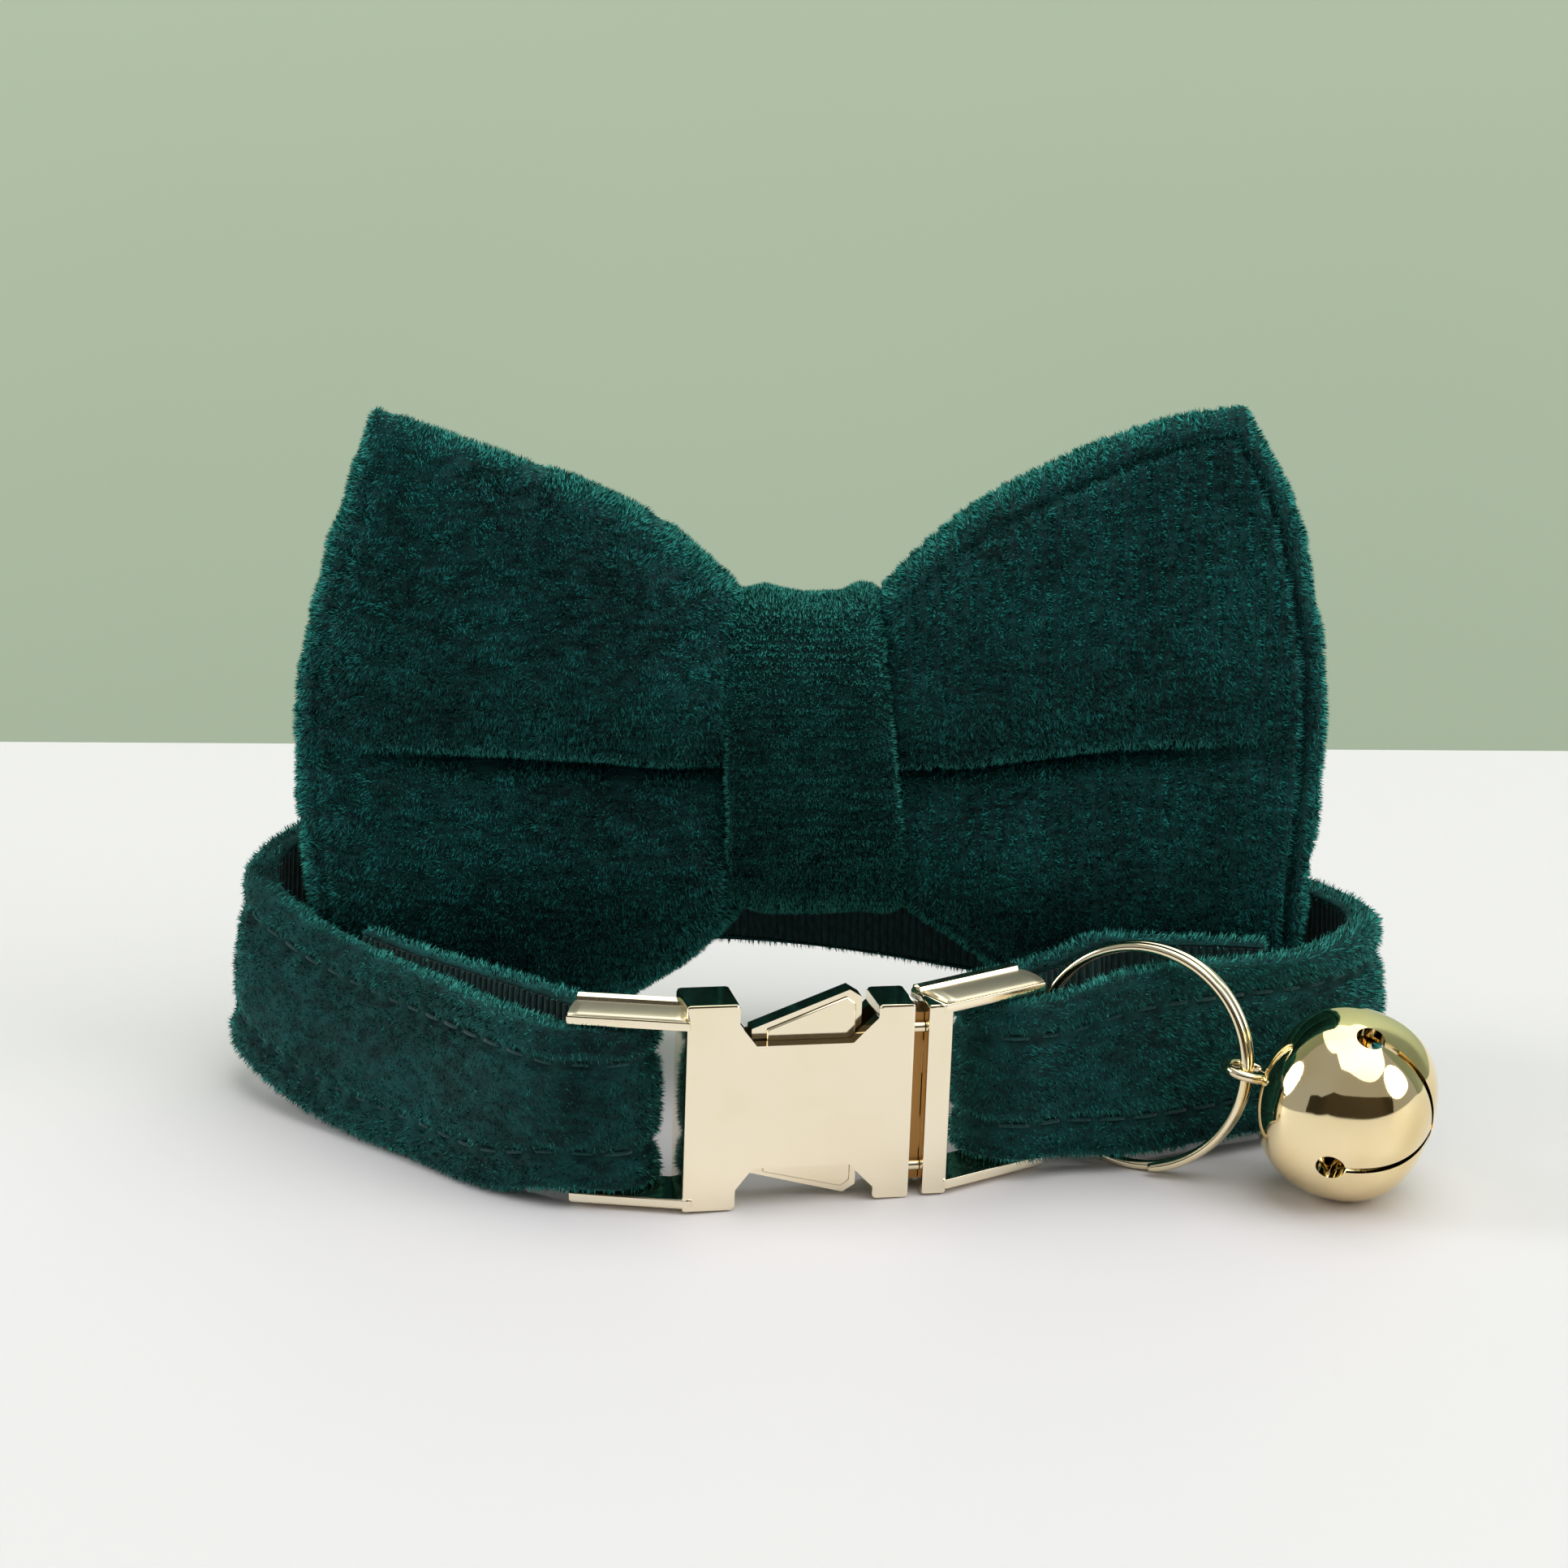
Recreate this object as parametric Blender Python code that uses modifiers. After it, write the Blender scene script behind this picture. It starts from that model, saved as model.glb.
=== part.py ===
"""Pet bow tie collar: velvet strap in a loop, side-release buckle, split ring, bell and bow.

Metres, +Z up. X runs to the right along the front of the loop, Y runs away from the front,
and the collar stands on z = 0. The front left corner of the buckle's plate starts at x = 0, y = 0,
and the whole collar is then moved so that the middle of its box's base is the origin.
"""
import math
from collections import namedtuple

import bmesh
import bpy
import numpy as np
from mathutils import Matrix, Vector

MM = 0.001
GAP = 0.3 * MM

# Strap
STRAP_HEIGHT = 16.6 * MM
STRAP_SLOT_HEIGHT = 14.8 * MM
VELVET_WALL = 1.2 * MM
WEBBING_THICK = 1.2 * MM
WEBBING_GAP = 0.42 * MM
STITCH_INSET = 3.3 * MM
STITCH_DEPTH = 0.35 * MM
STITCH_HALF_WIDTH = 0.7 * MM
STRAP_STEP = 3.7 * MM
FOLD_STEP = 1.9 * MM
STRAP_LEFT = 50.2 * MM
STRAP_RIGHT = 52.8 * MM
STRAP_DEPTH = 48.6 * MM
BACK_RISE = 10.0 * MM
LEFT_FOLD = 33.0 * MM
RIGHT_FOLD = 25.0 * MM
LEFT_FOLD_SLACK = 1.4 * MM
RIGHT_FOLD_SLACK = 0.4 * MM
SLOT_RUN = 2.8 * MM
RIGHT_FRONT_ROOM = 1.2 * MM
RIGHT_SWING = 14.0
FOLD_ROOM = 0.3 * MM
FOLD_END_ROOM = 0.5 * MM

# Buckle
PLATE_WALL = 1.4 * MM
BUCKLE_DEPTH = 5.4 * MM
LEFT_BAR_WIDTH = 4.7 * MM
LEFT_BAR_HEIGHT = 19.0 * MM
BODY_LENGTH = 12.3 * MM
BODY_HEIGHT = 11.2 * MM
RIGHT_BAR_WIDTH = 3.3 * MM
RIGHT_BAR_HEIGHT = 18.0 * MM
HALVES_GAP = 1.1 * MM
MALE_BAR_WIDTH = 2.3 * MM
MALE_BAR_HEIGHT = 17.6 * MM
NOTCH_CHAMFER = 2.2 * MM
SLOT_HEIGHT = 15.4 * MM
ARM_THICK = 0.9 * MM
ARM_LENGTH = 10.4 * MM
ARM_BEND = 22.0
RIDGE_RADIUS = 0.7 * MM
RIDGE_SINK = 0.15 * MM
ARM_CLEARANCE = 0.05 * MM
END_BAR_RADIUS = 1.25 * MM
PRONG_THICK = 1.9 * MM
PRONG_LOW = 2.0 * MM
PRONG_HIGH = 5.0 * MM
WEDGE_TOP = 9.9 * MM
WEDGE_BOTTOM = 8.8 * MM
PIN_RADIUS = 0.5 * MM
PIN_HEIGHT = 6.9 * MM
EDGE_BEVEL = 0.35 * MM
BUCKLE_YAW = 12.0
BUCKLE_ROLL = 2.0

# Split ring
RING_OUTER = 20.6 * MM
RING_WIRE = 0.8 * MM
RING_PITCH = 1.12 * MM
RING_TURNS = 1.95
RING_ALONG = 9.8 * MM
RING_YAW = -24.0
RING_LEAN = 7.0
RING_FORWARD = 0.1 * MM
RING_STEPS = 30

# Bell
BELL_RADIUS = 8.5 * MM
BELL_HALF_LENGTH = 7.7 * MM
BELL_WALL = 0.9 * MM
BELL_SLOT = 1.1 * MM
BELL_HOLE_RADIUS = 1.3 * MM
BELL_HOLE_ALONG = 0.9 * MM
BELL_YAW = -20.0
SHANK_RADIUS = 2.0 * MM
SHANK_WIRE = 0.9 * MM
SHANK_REACH = 1.5 * MM
PELLET_RADIUS = 2.2 * MM

# Bow
BOW_WIDTH = 94.6 * MM
BOW_HEIGHT = 65.0 * MM
BOW_DEPTH = 21.0 * MM
BOW_EDGE = 3.2 * MM
BOW_RIGHT = 2.3 * MM
BOW_BACK = 35.4 * MM
BOW_SWEEP_LEFT = 1.2 * MM
BOW_SWEEP_RIGHT = 4.5 * MM
KNOT_HEIGHT = 30.5 * MM
KNOT_WIDTH = 16.6 * MM
KNOT_WALL = 1.65 * MM
ELASTIC_WIDTH = 6.0 * MM
ELASTIC_THICK = 0.9 * MM
ELASTIC_LEFT = 16.0 * MM
ELASTIC_RIGHT = 25.0 * MM
ELASTIC_TOP = 31.0 * MM
ELASTIC_CORNER = 0.9 * MM

# The strap's outer layer, from the left end bar round the back to the right one. Across is a
# share of STRAP_LEFT or STRAP_RIGHT, deep of STRAP_DEPTH and rise of BACK_RISE; lean is how many
# degrees the top edge tips into the loop.
LoopPoint = namedtuple("LoopPoint", "across deep rise lean")
LOOP = [
    LoopPoint(-0.515, 0.150, 0.03, 4),
    LoopPoint(-0.645, 0.305, 0.02, 8),
    LoopPoint(-0.795, 0.470, 0.04, 13),
    LoopPoint(-0.910, 0.590, 0.17, 11),
    LoopPoint(-0.995, 0.725, 0.38, 7),
    LoopPoint(-0.935, 0.852, 0.60, 4),
    LoopPoint(-0.765, 0.945, 0.84, 0),
    LoopPoint(-0.440, 0.995, 1.00, 0),
    LoopPoint(-0.140, 1.000, 0.98, 0),
    LoopPoint(0.110, 0.992, 0.86, 0),
    LoopPoint(0.350, 0.968, 0.69, 0),
    LoopPoint(0.590, 0.928, 0.50, 0),
    LoopPoint(0.790, 0.856, 0.33, 0),
    LoopPoint(0.930, 0.742, 0.22, 2),
    LoopPoint(0.995, 0.582, 0.16, 3),
    LoopPoint(0.905, 0.428, 0.12, 2),
    LoopPoint(0.750, 0.330, 0.15, 2),
    LoopPoint(0.590, 0.248, 0.16, 2),
]

# How far the folded-back layer stands behind the outer one, as a share of its distance at the end
# bar, against the share of the fold's length from that bar.
FoldPoint = namedtuple("FoldPoint", "along stand")
LEFT_STAND = [
    FoldPoint(0.0, 1.0),
    FoldPoint(0.15, 1.08),
    FoldPoint(0.3, 1.0),
    FoldPoint(0.5, 0.86),
    FoldPoint(0.75, 0.64),
    FoldPoint(1.0, 0.5),
]
RIGHT_STAND = [
    FoldPoint(0.0, 1.0),
    FoldPoint(0.2, 1.28),
    FoldPoint(0.45, 1.32),
    FoldPoint(0.7, 0.95),
    FoldPoint(1.0, 0.5),
]

# The bow from its middle out to one side. Reach is a share of half BOW_WIDTH, top and bottom of
# half BOW_HEIGHT, front and back of half BOW_DEPTH; crease is how much of the front it cuts in.
WingSection = namedtuple("WingSection", "reach top bottom front back crease")
WING = [
    WingSection(0.00, 0.38, 0.38, 0.60, 0.58, 0.10),
    WingSection(0.12, 0.38, 0.38, 0.60, 0.58, 0.12),
    WingSection(0.20, 0.38, 0.38, 0.60, 0.58, 0.22),
    WingSection(0.235, 0.51, 0.53, 0.80, 0.56, 0.44),
    WingSection(0.29, 0.62, 0.66, 0.95, 0.54, 0.50),
    WingSection(0.39, 0.735, 0.79, 1.00, 0.50, 0.48),
    WingSection(0.52, 0.815, 0.875, 0.94, 0.46, 0.44),
    WingSection(0.68, 0.875, 0.93, 0.78, 0.40, 0.38),
    WingSection(0.84, 0.94, 0.97, 0.54, 0.32, 0.28),
    WingSection(0.95, 0.985, 0.99, 0.30, 0.22, 0.14),
    WingSection(1.00, 1.00, 1.00, 0.14, 0.14, 0.05),
]
WING_SIDE = 13
TIP_PULL = 0.17

VELVET = ("velvet", (0.010, 0.085, 0.080), 0.9, 0.0)
WEBBING = ("webbing", (0.008, 0.040, 0.038), 0.8, 0.0)
ELASTIC = ("elastic", (0.010, 0.040, 0.040), 0.8, 0.0)
GOLD = ("gold", (0.83, 0.68, 0.42), 0.18, 1.0)


def unit(vectors):
    """Each row divided by its length."""
    return vectors / np.linalg.norm(vectors, axis=-1, keepdims=True)


def turned(heading):
    """A plan direction turned a quarter turn to its left."""
    return np.stack([-heading[..., 1], heading[..., 0]], axis=-1)


def clear_scene():
    for item in list(bpy.data.objects):
        bpy.data.objects.remove(item, do_unlink=True)


def collection(name):
    group = bpy.data.collections.new(name)
    bpy.context.scene.collection.children.link(group)
    return group


def material(finish):
    name, colour, roughness, metallic = finish
    made = bpy.data.materials.get(name)
    if made is None:
        made = bpy.data.materials.new(name)
        made.use_nodes = True
        shader = made.node_tree.nodes["Principled BSDF"]
        shader.inputs["Base Color"].default_value = (*colour, 1.0)
        shader.inputs["Roughness"].default_value = roughness
        shader.inputs["Metallic"].default_value = metallic
    return made


def add_mesh(name, mesh, group, finish=None, smooth=40.0):
    """Link a mesh as an object, with its material and smooth shading."""
    made = bpy.data.objects.new(name, mesh)
    group.objects.link(made)
    if finish:
        mesh.materials.clear()
        mesh.materials.append(material(finish))
    mesh.shade_smooth()
    mesh.set_sharp_from_angle(angle=math.radians(smooth))
    return made


def mesh_from(name, points, faces):
    mesh = bpy.data.meshes.new(name)
    mesh.from_pydata([tuple(point) for point in points], [], faces)
    mesh.validate()
    return mesh


def loft(name, rings, closed=False):
    """Skin rings of points that run the same way round; the ends are closed with one face each."""
    count, size = rings.shape[:2]
    faces = []
    for i in range(count if closed else count - 1):
        here = i * size
        after = (i + 1) % count * size
        for j in range(size):
            k = (j + 1) % size
            faces.append((here + j, here + k, after + k, after + j))
    if not closed:
        faces.append(tuple(range(size))[::-1])
        faces.append(tuple(range((count - 1) * size, count * size)))
    mesh = mesh_from(name, rings.reshape(-1, 3), faces)
    form = bmesh.new()
    form.from_mesh(mesh)
    bmesh.ops.recalc_face_normals(form, faces=form.faces)
    bmesh.ops.triangulate(form, faces=[face for face in form.faces if len(face.verts) > 4])
    form.to_mesh(mesh)
    form.free()
    return mesh


def smooth_curve(points, step):
    """A Catmull-Rom curve through rows of points, read again at an even step of plan length."""
    points = np.asarray(points, float)
    padded = np.vstack([2 * points[0] - points[1], points, 2 * points[-1] - points[-2]])
    share = np.linspace(0.0, 1.0, 16, endpoint=False)[:, None]
    pieces = []
    for a, b, c, d in zip(padded[:-3], padded[1:-2], padded[2:-1], padded[3:]):
        bend = 2 * a - 5 * b + 4 * c - d
        twist = 3 * b - a - 3 * c + d
        pieces.append(0.5 * (2 * b + (c - a) * share + bend * share ** 2 + twist * share ** 3))
    dense = np.vstack(pieces + [points[-1:]])
    return even(dense, step)


def even(dense, step):
    """Rows read again at an even step of plan length."""
    lengths = np.linalg.norm(np.diff(dense[:, :2], axis=0), axis=1)
    along = np.concatenate([[0.0], np.cumsum(lengths)])
    wanted = np.linspace(0.0, along[-1], max(2, round(along[-1] / step)) + 1)
    return np.stack([np.interp(wanted, along, column) for column in dense.T], axis=1)


def cut_at(rows, length, from_end=False):
    """The part of a row curve up to a plan length from its start or its end."""
    rows = rows[::-1] if from_end else rows
    lengths = np.linalg.norm(np.diff(rows[:, :2], axis=0), axis=1)
    along = np.concatenate([[0.0], np.cumsum(lengths)])
    inside = rows[along < length]
    last = np.array([np.interp(length, along, column) for column in rows.T])
    return np.vstack([inside, last])


def box(name, low, high, group, bevel=0.0):
    """A box between two corners, with its edges bevelled."""
    form = bmesh.new()
    bmesh.ops.create_cube(form, size=1.0)
    low = np.asarray(low)
    size = np.asarray(high) - low
    for vertex in form.verts:
        vertex.co = Vector(low + (np.array(vertex.co) + 0.5) * size)
    if bevel:
        bmesh.ops.bevel(form, geom=list(form.edges), offset=bevel, segments=2, affect="EDGES",
                        profile=0.5)
    mesh = bpy.data.meshes.new(name)
    form.to_mesh(mesh)
    form.free()
    return add_mesh(name, mesh, group)


def rod(name, start, end, radius, group, sides=12):
    """A closed cylinder from one point to another."""
    start = Vector(start)
    end = Vector(end)
    form = bmesh.new()
    bmesh.ops.create_cone(form, cap_ends=True, segments=sides, radius1=radius, radius2=radius,
                          depth=(end - start).length)
    mesh = bpy.data.meshes.new(name)
    form.to_mesh(mesh)
    form.free()
    turn = (end - start).to_track_quat("Z", "Y").to_matrix().to_4x4()
    mesh.transform(Matrix.Translation((start + end) / 2) @ turn)
    return add_mesh(name, mesh, group)


def plate(name, outline, low, high, group):
    """A flat outline in the buckle's face plane, from one depth to another."""
    curve = bpy.data.curves.new(name, "CURVE")
    curve.dimensions = "2D"
    curve.fill_mode = "BOTH"
    curve.extrude = (high - low) / 2
    spline = curve.splines.new("POLY")
    spline.points.add(len(outline) - 1)
    for point, (u, w) in zip(spline.points, outline):
        point.co = (u, w, 0.0, 1.0)
    spline.use_cyclic_u = True
    drawn = bpy.data.objects.new(name + "_outline", curve)
    group.objects.link(drawn)
    bpy.context.view_layer.update()
    mesh = bpy.data.meshes.new_from_object(drawn.evaluated_get(bpy.context.evaluated_depsgraph_get()))
    bpy.data.objects.remove(drawn, do_unlink=True)
    form = bmesh.new()
    form.from_mesh(mesh)
    bmesh.ops.remove_doubles(form, verts=form.verts, dist=1e-6)
    bmesh.ops.recalc_face_normals(form, faces=form.faces)
    form.to_mesh(mesh)
    form.free()
    upright = Matrix.Translation((0.0, (low + high) / 2, 0.0)) @ Matrix.Rotation(math.pi / 2, 4, "X")
    mesh.transform(upright)
    return add_mesh(name, mesh, group)


def fuse(base, others, operation="UNION"):
    """Join solids to the base, or cut them from it, and keep one closed mesh."""
    for other in others:
        change = base.modifiers.new(other.name, "BOOLEAN")
        change.operation = operation
        change.solver = "EXACT"
        change.object = other
    bpy.context.view_layer.update()
    mesh = bpy.data.meshes.new_from_object(base.evaluated_get(bpy.context.evaluated_depsgraph_get()))
    base.modifiers.clear()
    base.data = mesh
    for other in others:
        bpy.data.objects.remove(other, do_unlink=True)
    form = bmesh.new()
    form.from_mesh(mesh)
    bmesh.ops.remove_doubles(form, verts=form.verts, dist=2e-6)
    bmesh.ops.dissolve_degenerate(form, edges=form.edges, dist=1e-6)
    form.to_mesh(mesh)
    form.free()
    return base


def finish_piece(made, name, finish, holder=None, smooth=40.0):
    """Name a piece and give it its material and its place under the holder."""
    made.name = name
    made.data.name = name
    made.data.materials.clear()
    made.data.materials.append(material(finish))
    made.data.shade_smooth()
    made.data.set_sharp_from_angle(angle=math.radians(smooth))
    if holder:
        made.parent = holder
    return made


class Buckle:
    """Places on the buckle in its own frame: u along its face, v back from it, w up."""
    left_bar = (0.0, LEFT_BAR_WIDTH)
    right_bar = (LEFT_BAR_WIDTH + BODY_LENGTH, LEFT_BAR_WIDTH + BODY_LENGTH + RIGHT_BAR_WIDTH)
    male_bar = (right_bar[1] + HALVES_GAP, right_bar[1] + HALVES_GAP + MALE_BAR_WIDTH)
    bar_depth = BUCKLE_DEPTH - END_BAR_RADIUS

    @staticmethod
    def height_of_origin():
        """The height that puts the lowest corner of the tilted bars on the table."""
        roll = math.radians(BUCKLE_ROLL)
        corners = ((Buckle.left_bar[1], LEFT_BAR_HEIGHT), (Buckle.right_bar[1], RIGHT_BAR_HEIGHT),
                   (Buckle.male_bar[1], MALE_BAR_HEIGHT))
        return max(u * math.sin(roll) + height / 2 * math.cos(roll) for u, height in corners)

    @staticmethod
    def matrix():
        turn = Matrix.Rotation(math.radians(BUCKLE_YAW), 4, "Z")
        tilt = Matrix.Rotation(math.radians(BUCKLE_ROLL), 4, "Y")
        return Matrix.Translation((0.0, 0.0, Buckle.height_of_origin())) @ turn @ tilt

    @staticmethod
    def arm_level():
        """The height of the arms' middle, so that the lower ridges just clear the table."""
        return SLOT_HEIGHT / 2 + ARM_THICK - RIDGE_SINK + RIDGE_RADIUS + ARM_CLEARANCE

    @staticmethod
    def level_arms():
        """The turn and drop that bring an arm level, in the tilted plate's frame."""
        drop = Buckle.arm_level() - Buckle.height_of_origin()
        untilt = Matrix.Rotation(math.radians(-BUCKLE_ROLL), 4, "Y")
        return untilt @ Matrix.Translation((0.0, 0.0, drop))

    @staticmethod
    def arm(side):
        """The hinge line's u and the arm's outward direction, for side -1 (left) or 1 (right)."""
        bend = math.radians(ARM_BEND)
        start = Buckle.left_bar[0] if side < 0 else Buckle.male_bar[1]
        return start, np.array([side * math.cos(bend), math.sin(bend)])

    @staticmethod
    def end_bar(side):
        """The end bar's centre (u, v) and the arm's direction there."""
        start, outward = Buckle.arm(side)
        back = np.array([-side * outward[1], side * outward[0]])
        centre = np.array([start, 0.0]) + outward * (ARM_LENGTH - END_BAR_RADIUS)
        return centre + back * Buckle.bar_depth, outward

    @staticmethod
    def end_bar_in_plan(side):
        """The same in the collar's plan, with the height of the slot's middle there."""
        centre, outward = Buckle.end_bar(side)
        level = Buckle.matrix() @ Buckle.level_arms()
        place = level @ Vector((centre[0], centre[1], 0.0))
        way = level.to_3x3() @ Vector((outward[0], outward[1], 0.0))
        return np.array([place.x, place.y]), np.array([way.x, way.y]), place.z


def buckle_outline(left_height, right_height):
    """The H of the plates: a tall bar at each end, the body between, chamfered into the bars."""
    u0, u1 = Buckle.left_bar
    u2, u3 = Buckle.right_bar
    half_left = left_height / 2
    half_right = right_height / 2
    half_body = BODY_HEIGHT / 2
    chamfer = NOTCH_CHAMFER
    upper = [(u3, half_right), (u2, half_right), (u2, half_body + chamfer), (u2 - chamfer, half_body),
             (u1 + 0.7 * chamfer, half_body), (u1, half_body + 0.9 * chamfer), (u1, half_left),
             (u0, half_left)]
    lower = [(u, -w) for u, w in reversed(upper)]
    return upper + lower


def buckle_frame(name, side, height, width, group):
    """The bar of one half with its two bent arms, their back ridges and the end bar between."""
    start, outward = Buckle.arm(side)
    back = np.array([-side * outward[1], side * outward[0]])
    inner = SLOT_HEIGHT / 2
    low_u, high_u = sorted((start, start - side * width))
    frame = box(name, (low_u, 0.0, -height / 2), (high_u, BUCKLE_DEPTH, height / 2), group, EDGE_BEVEL)
    pieces = []
    for up in (-1, 1):
        arm = box(name + "_arm", (-0.6 * MM, 0.0, inner), (ARM_LENGTH, BUCKLE_DEPTH, inner + ARM_THICK),
                  group, 0.2 * MM)
        turn = Matrix(((outward[0], back[0], 0.0, start), (outward[1], back[1], 0.0, 0.0),
                       (0.0, 0.0, up, 0.0), (0.0, 0.0, 0.0, 1.0)))
        arm.data.transform(turn)
        if turn.determinant() < 0:
            arm.data.flip_normals()
        ridge_v = BUCKLE_DEPTH - RIDGE_RADIUS
        ridge_w = inner + ARM_THICK - RIDGE_SINK
        ends = []
        for reach in (-0.4 * MM, ARM_LENGTH - 0.1 * MM):
            place = np.array([start, 0.0]) + outward * reach + back * ridge_v
            ends.append((place[0], place[1], up * ridge_w))
        ridge = rod(name + "_ridge", ends[0], ends[1], RIDGE_RADIUS, group, 8)
        pieces += [arm, ridge]
    centre, _ = Buckle.end_bar(side)
    reach = inner + ARM_THICK / 2
    pieces.append(rod(name + "_bar", (*centre, -reach), (*centre, reach), END_BAR_RADIUS, group))
    for piece in pieces:
        piece.data.transform(Buckle.level_arms())
    return fuse(frame, pieces)


def make_buckle(group, cutters):
    """Both halves, fastened. The plates hold the prongs between them, the right bar is a window."""
    holder = bpy.data.objects.new("buckle_place", None)
    group.objects.link(holder)
    holder.matrix_world = Buckle.matrix()

    female = buckle_frame("buckle_female", -1, LEFT_BAR_HEIGHT, LEFT_BAR_WIDTH, group)
    outline = buckle_outline(LEFT_BAR_HEIGHT - 2 * EDGE_BEVEL, RIGHT_BAR_HEIGHT - 2 * EDGE_BEVEL)
    inset = [(min(max(u, EDGE_BEVEL), Buckle.right_bar[1] - EDGE_BEVEL), w) for u, w in outline]
    front = plate("front_plate", inset, 0.05 * MM, PLATE_WALL, group)
    rear = plate("rear_plate", inset, BUCKLE_DEPTH - PLATE_WALL, BUCKLE_DEPTH - 0.05 * MM, group)
    low_u, high_u = Buckle.right_bar
    right = box("right_bar", (low_u, 0.0, -RIGHT_BAR_HEIGHT / 2),
                (high_u, BUCKLE_DEPTH, RIGHT_BAR_HEIGHT / 2), group, EDGE_BEVEL)
    window_height = PIN_HEIGHT + PIN_RADIUS + GAP
    prong_front = (BUCKLE_DEPTH - PRONG_THICK) / 2
    window = box("window", (low_u - MM, prong_front - GAP, -window_height),
                 (high_u + MM, prong_front + PRONG_THICK + GAP, window_height), cutters)
    window.hide_render = True
    window.display_type = "WIRE"
    fuse(right, [window], "DIFFERENCE")
    fuse(female, [front, rear, right])
    finish_piece(female, "buckle_female", GOLD, holder, 30.0)

    male = buckle_frame("buckle_male", 1, MALE_BAR_HEIGHT, MALE_BAR_WIDTH, group)
    pieces = []
    male_face = Buckle.male_bar[0]
    u1 = Buckle.left_bar[1]
    wedge_start = u1 + 1.4 * MM
    wedge_end = Buckle.right_bar[0] - 1.2 * MM
    for up, wedge in ((-1, WEDGE_BOTTOM), (1, WEDGE_TOP)):
        outline = [(male_face + MM, up * PRONG_LOW), (male_face + MM, up * PRONG_HIGH),
                   (wedge_end, up * PRONG_HIGH), (wedge_end, up * (wedge - 0.7 * MM)),
                   (wedge_end - 1.1 * MM, up * wedge), (wedge_start, up * (BODY_HEIGHT / 2 + MM)),
                   (wedge_start, up * PRONG_LOW)]
        pieces.append(plate("prong", outline, prong_front, prong_front + PRONG_THICK, group))
        pin_end = Buckle.right_bar[0] + MM
        middle = BUCKLE_DEPTH / 2
        pieces.append(rod("guide_pin", (pin_end, middle, up * PIN_HEIGHT),
                          (male_face + 0.5 * MM, middle, up * PIN_HEIGHT), PIN_RADIUS, group, 8))
    fuse(male, pieces)
    finish_piece(male, "buckle_male", GOLD, holder, 30.0)


def bar_offset():
    """How far the strap's mid-thickness stands from an end bar's centre."""
    return END_BAR_RADIUS + GAP + strap_thick() / 2


def fold_radius():
    """The radius of the strap's middle where it turns round an end bar."""
    return bar_offset() + FOLD_ROOM


def strap_thick():
    return VELVET_WALL + WEBBING_GAP + WEBBING_THICK


def outer_layer():
    """Rows x, y, rise, lean, height of the outer layer, from the left end bar to the right one."""
    rows = []
    for point in LOOP:
        width = STRAP_LEFT if point.across < 0 else STRAP_RIGHT
        rows.append([point.across * width + LOOP_SHIFT, point.deep * STRAP_DEPTH,
                     point.rise * BACK_RISE, point.lean, STRAP_HEIGHT])
    ends = []
    for side in (-1, 1):
        centre, outward, level = Buckle.end_bar_in_plan(side)
        front = turned(outward) * -side
        room = RIGHT_FRONT_ROOM if side > 0 else 0.0
        swing = math.radians(RIGHT_SWING) if side > 0 else 0.0
        near = centre + front * (fold_radius() + room)
        rise = level - STRAP_SLOT_HEIGHT / 2
        leaving = outward * math.cos(swing) + front * math.sin(swing)
        clear = near + leaving * SLOT_RUN
        ends.append([[*near, rise, 0.0, STRAP_SLOT_HEIGHT], [*clear, rise, 0.0, STRAP_SLOT_HEIGHT]])
    return np.array(ends[0] + rows + ends[1][::-1])


# The table's x is measured from the middle of the front; the plate's left edge is at x = 0.
LOOP_SHIFT = 8.6 * MM


def fold(side, outer):
    """Rows of a folded-back layer: round the end bar, then behind the outer layer."""
    centre, outward, level = Buckle.end_bar_in_plan(side)
    back = turned(outward) * side
    rise = level - STRAP_SLOT_HEIGHT / 2
    slack = LEFT_FOLD_SLACK if side < 0 else RIGHT_FOLD_SLACK
    radius = fold_radius()
    heart = centre - outward * slack
    swing = np.linspace(-math.pi / 2, math.pi / 2, 9)[:, None]
    front_room = RIGHT_FRONT_ROOM if side > 0 else 0.0
    reach = np.where(swing < 0, radius + front_room, radius)
    bow = heart - outward * radius * np.cos(swing) + back * reach * np.sin(swing)
    turn = np.column_stack([bow, np.full((9, 2), (rise, 0.0)), np.full(9, STRAP_SLOT_HEIGHT)])

    length = LEFT_FOLD if side < 0 else RIGHT_FOLD
    table = LEFT_STAND if side < 0 else RIGHT_STAND
    beside = cut_at(outer, length, from_end=side > 0)
    heading = unit(np.gradient(beside[:, :2], axis=0))
    inward = turned(heading) * side
    steps = np.linalg.norm(np.diff(beside[:, :2], axis=0), axis=1)
    share = np.concatenate([[0.0], np.cumsum(steps)]) / length
    stand = np.interp(share, [point.along for point in table], [point.stand for point in table])
    apart = np.maximum(stand * (2 * radius + front_room), strap_thick() + FOLD_END_ROOM)
    layer = beside.copy()
    layer[:, :2] += inward * apart[:, None]
    layer[:, 3] *= -1
    return turn, layer


def strap_path():
    """Rows for the whole strap: left fold, outer layer round the loop, right fold."""
    outer = smooth_curve(outer_layer(), STRAP_STEP)
    fine = smooth_curve(outer_layer(), FOLD_STEP)
    left_turn, left_layer = fold(-1, fine)
    right_turn, right_layer = fold(1, fine)
    left = even(smooth_curve(np.vstack([left_layer[::-2]]), FOLD_STEP), 1.6 * FOLD_STEP)
    right = even(smooth_curve(np.vstack([right_layer[::2]]), FOLD_STEP), 1.6 * FOLD_STEP)
    return np.vstack([left[:-1], left_turn[::-1][:-1], outer[1:-1], right_turn[1:], right[1:]])


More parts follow.
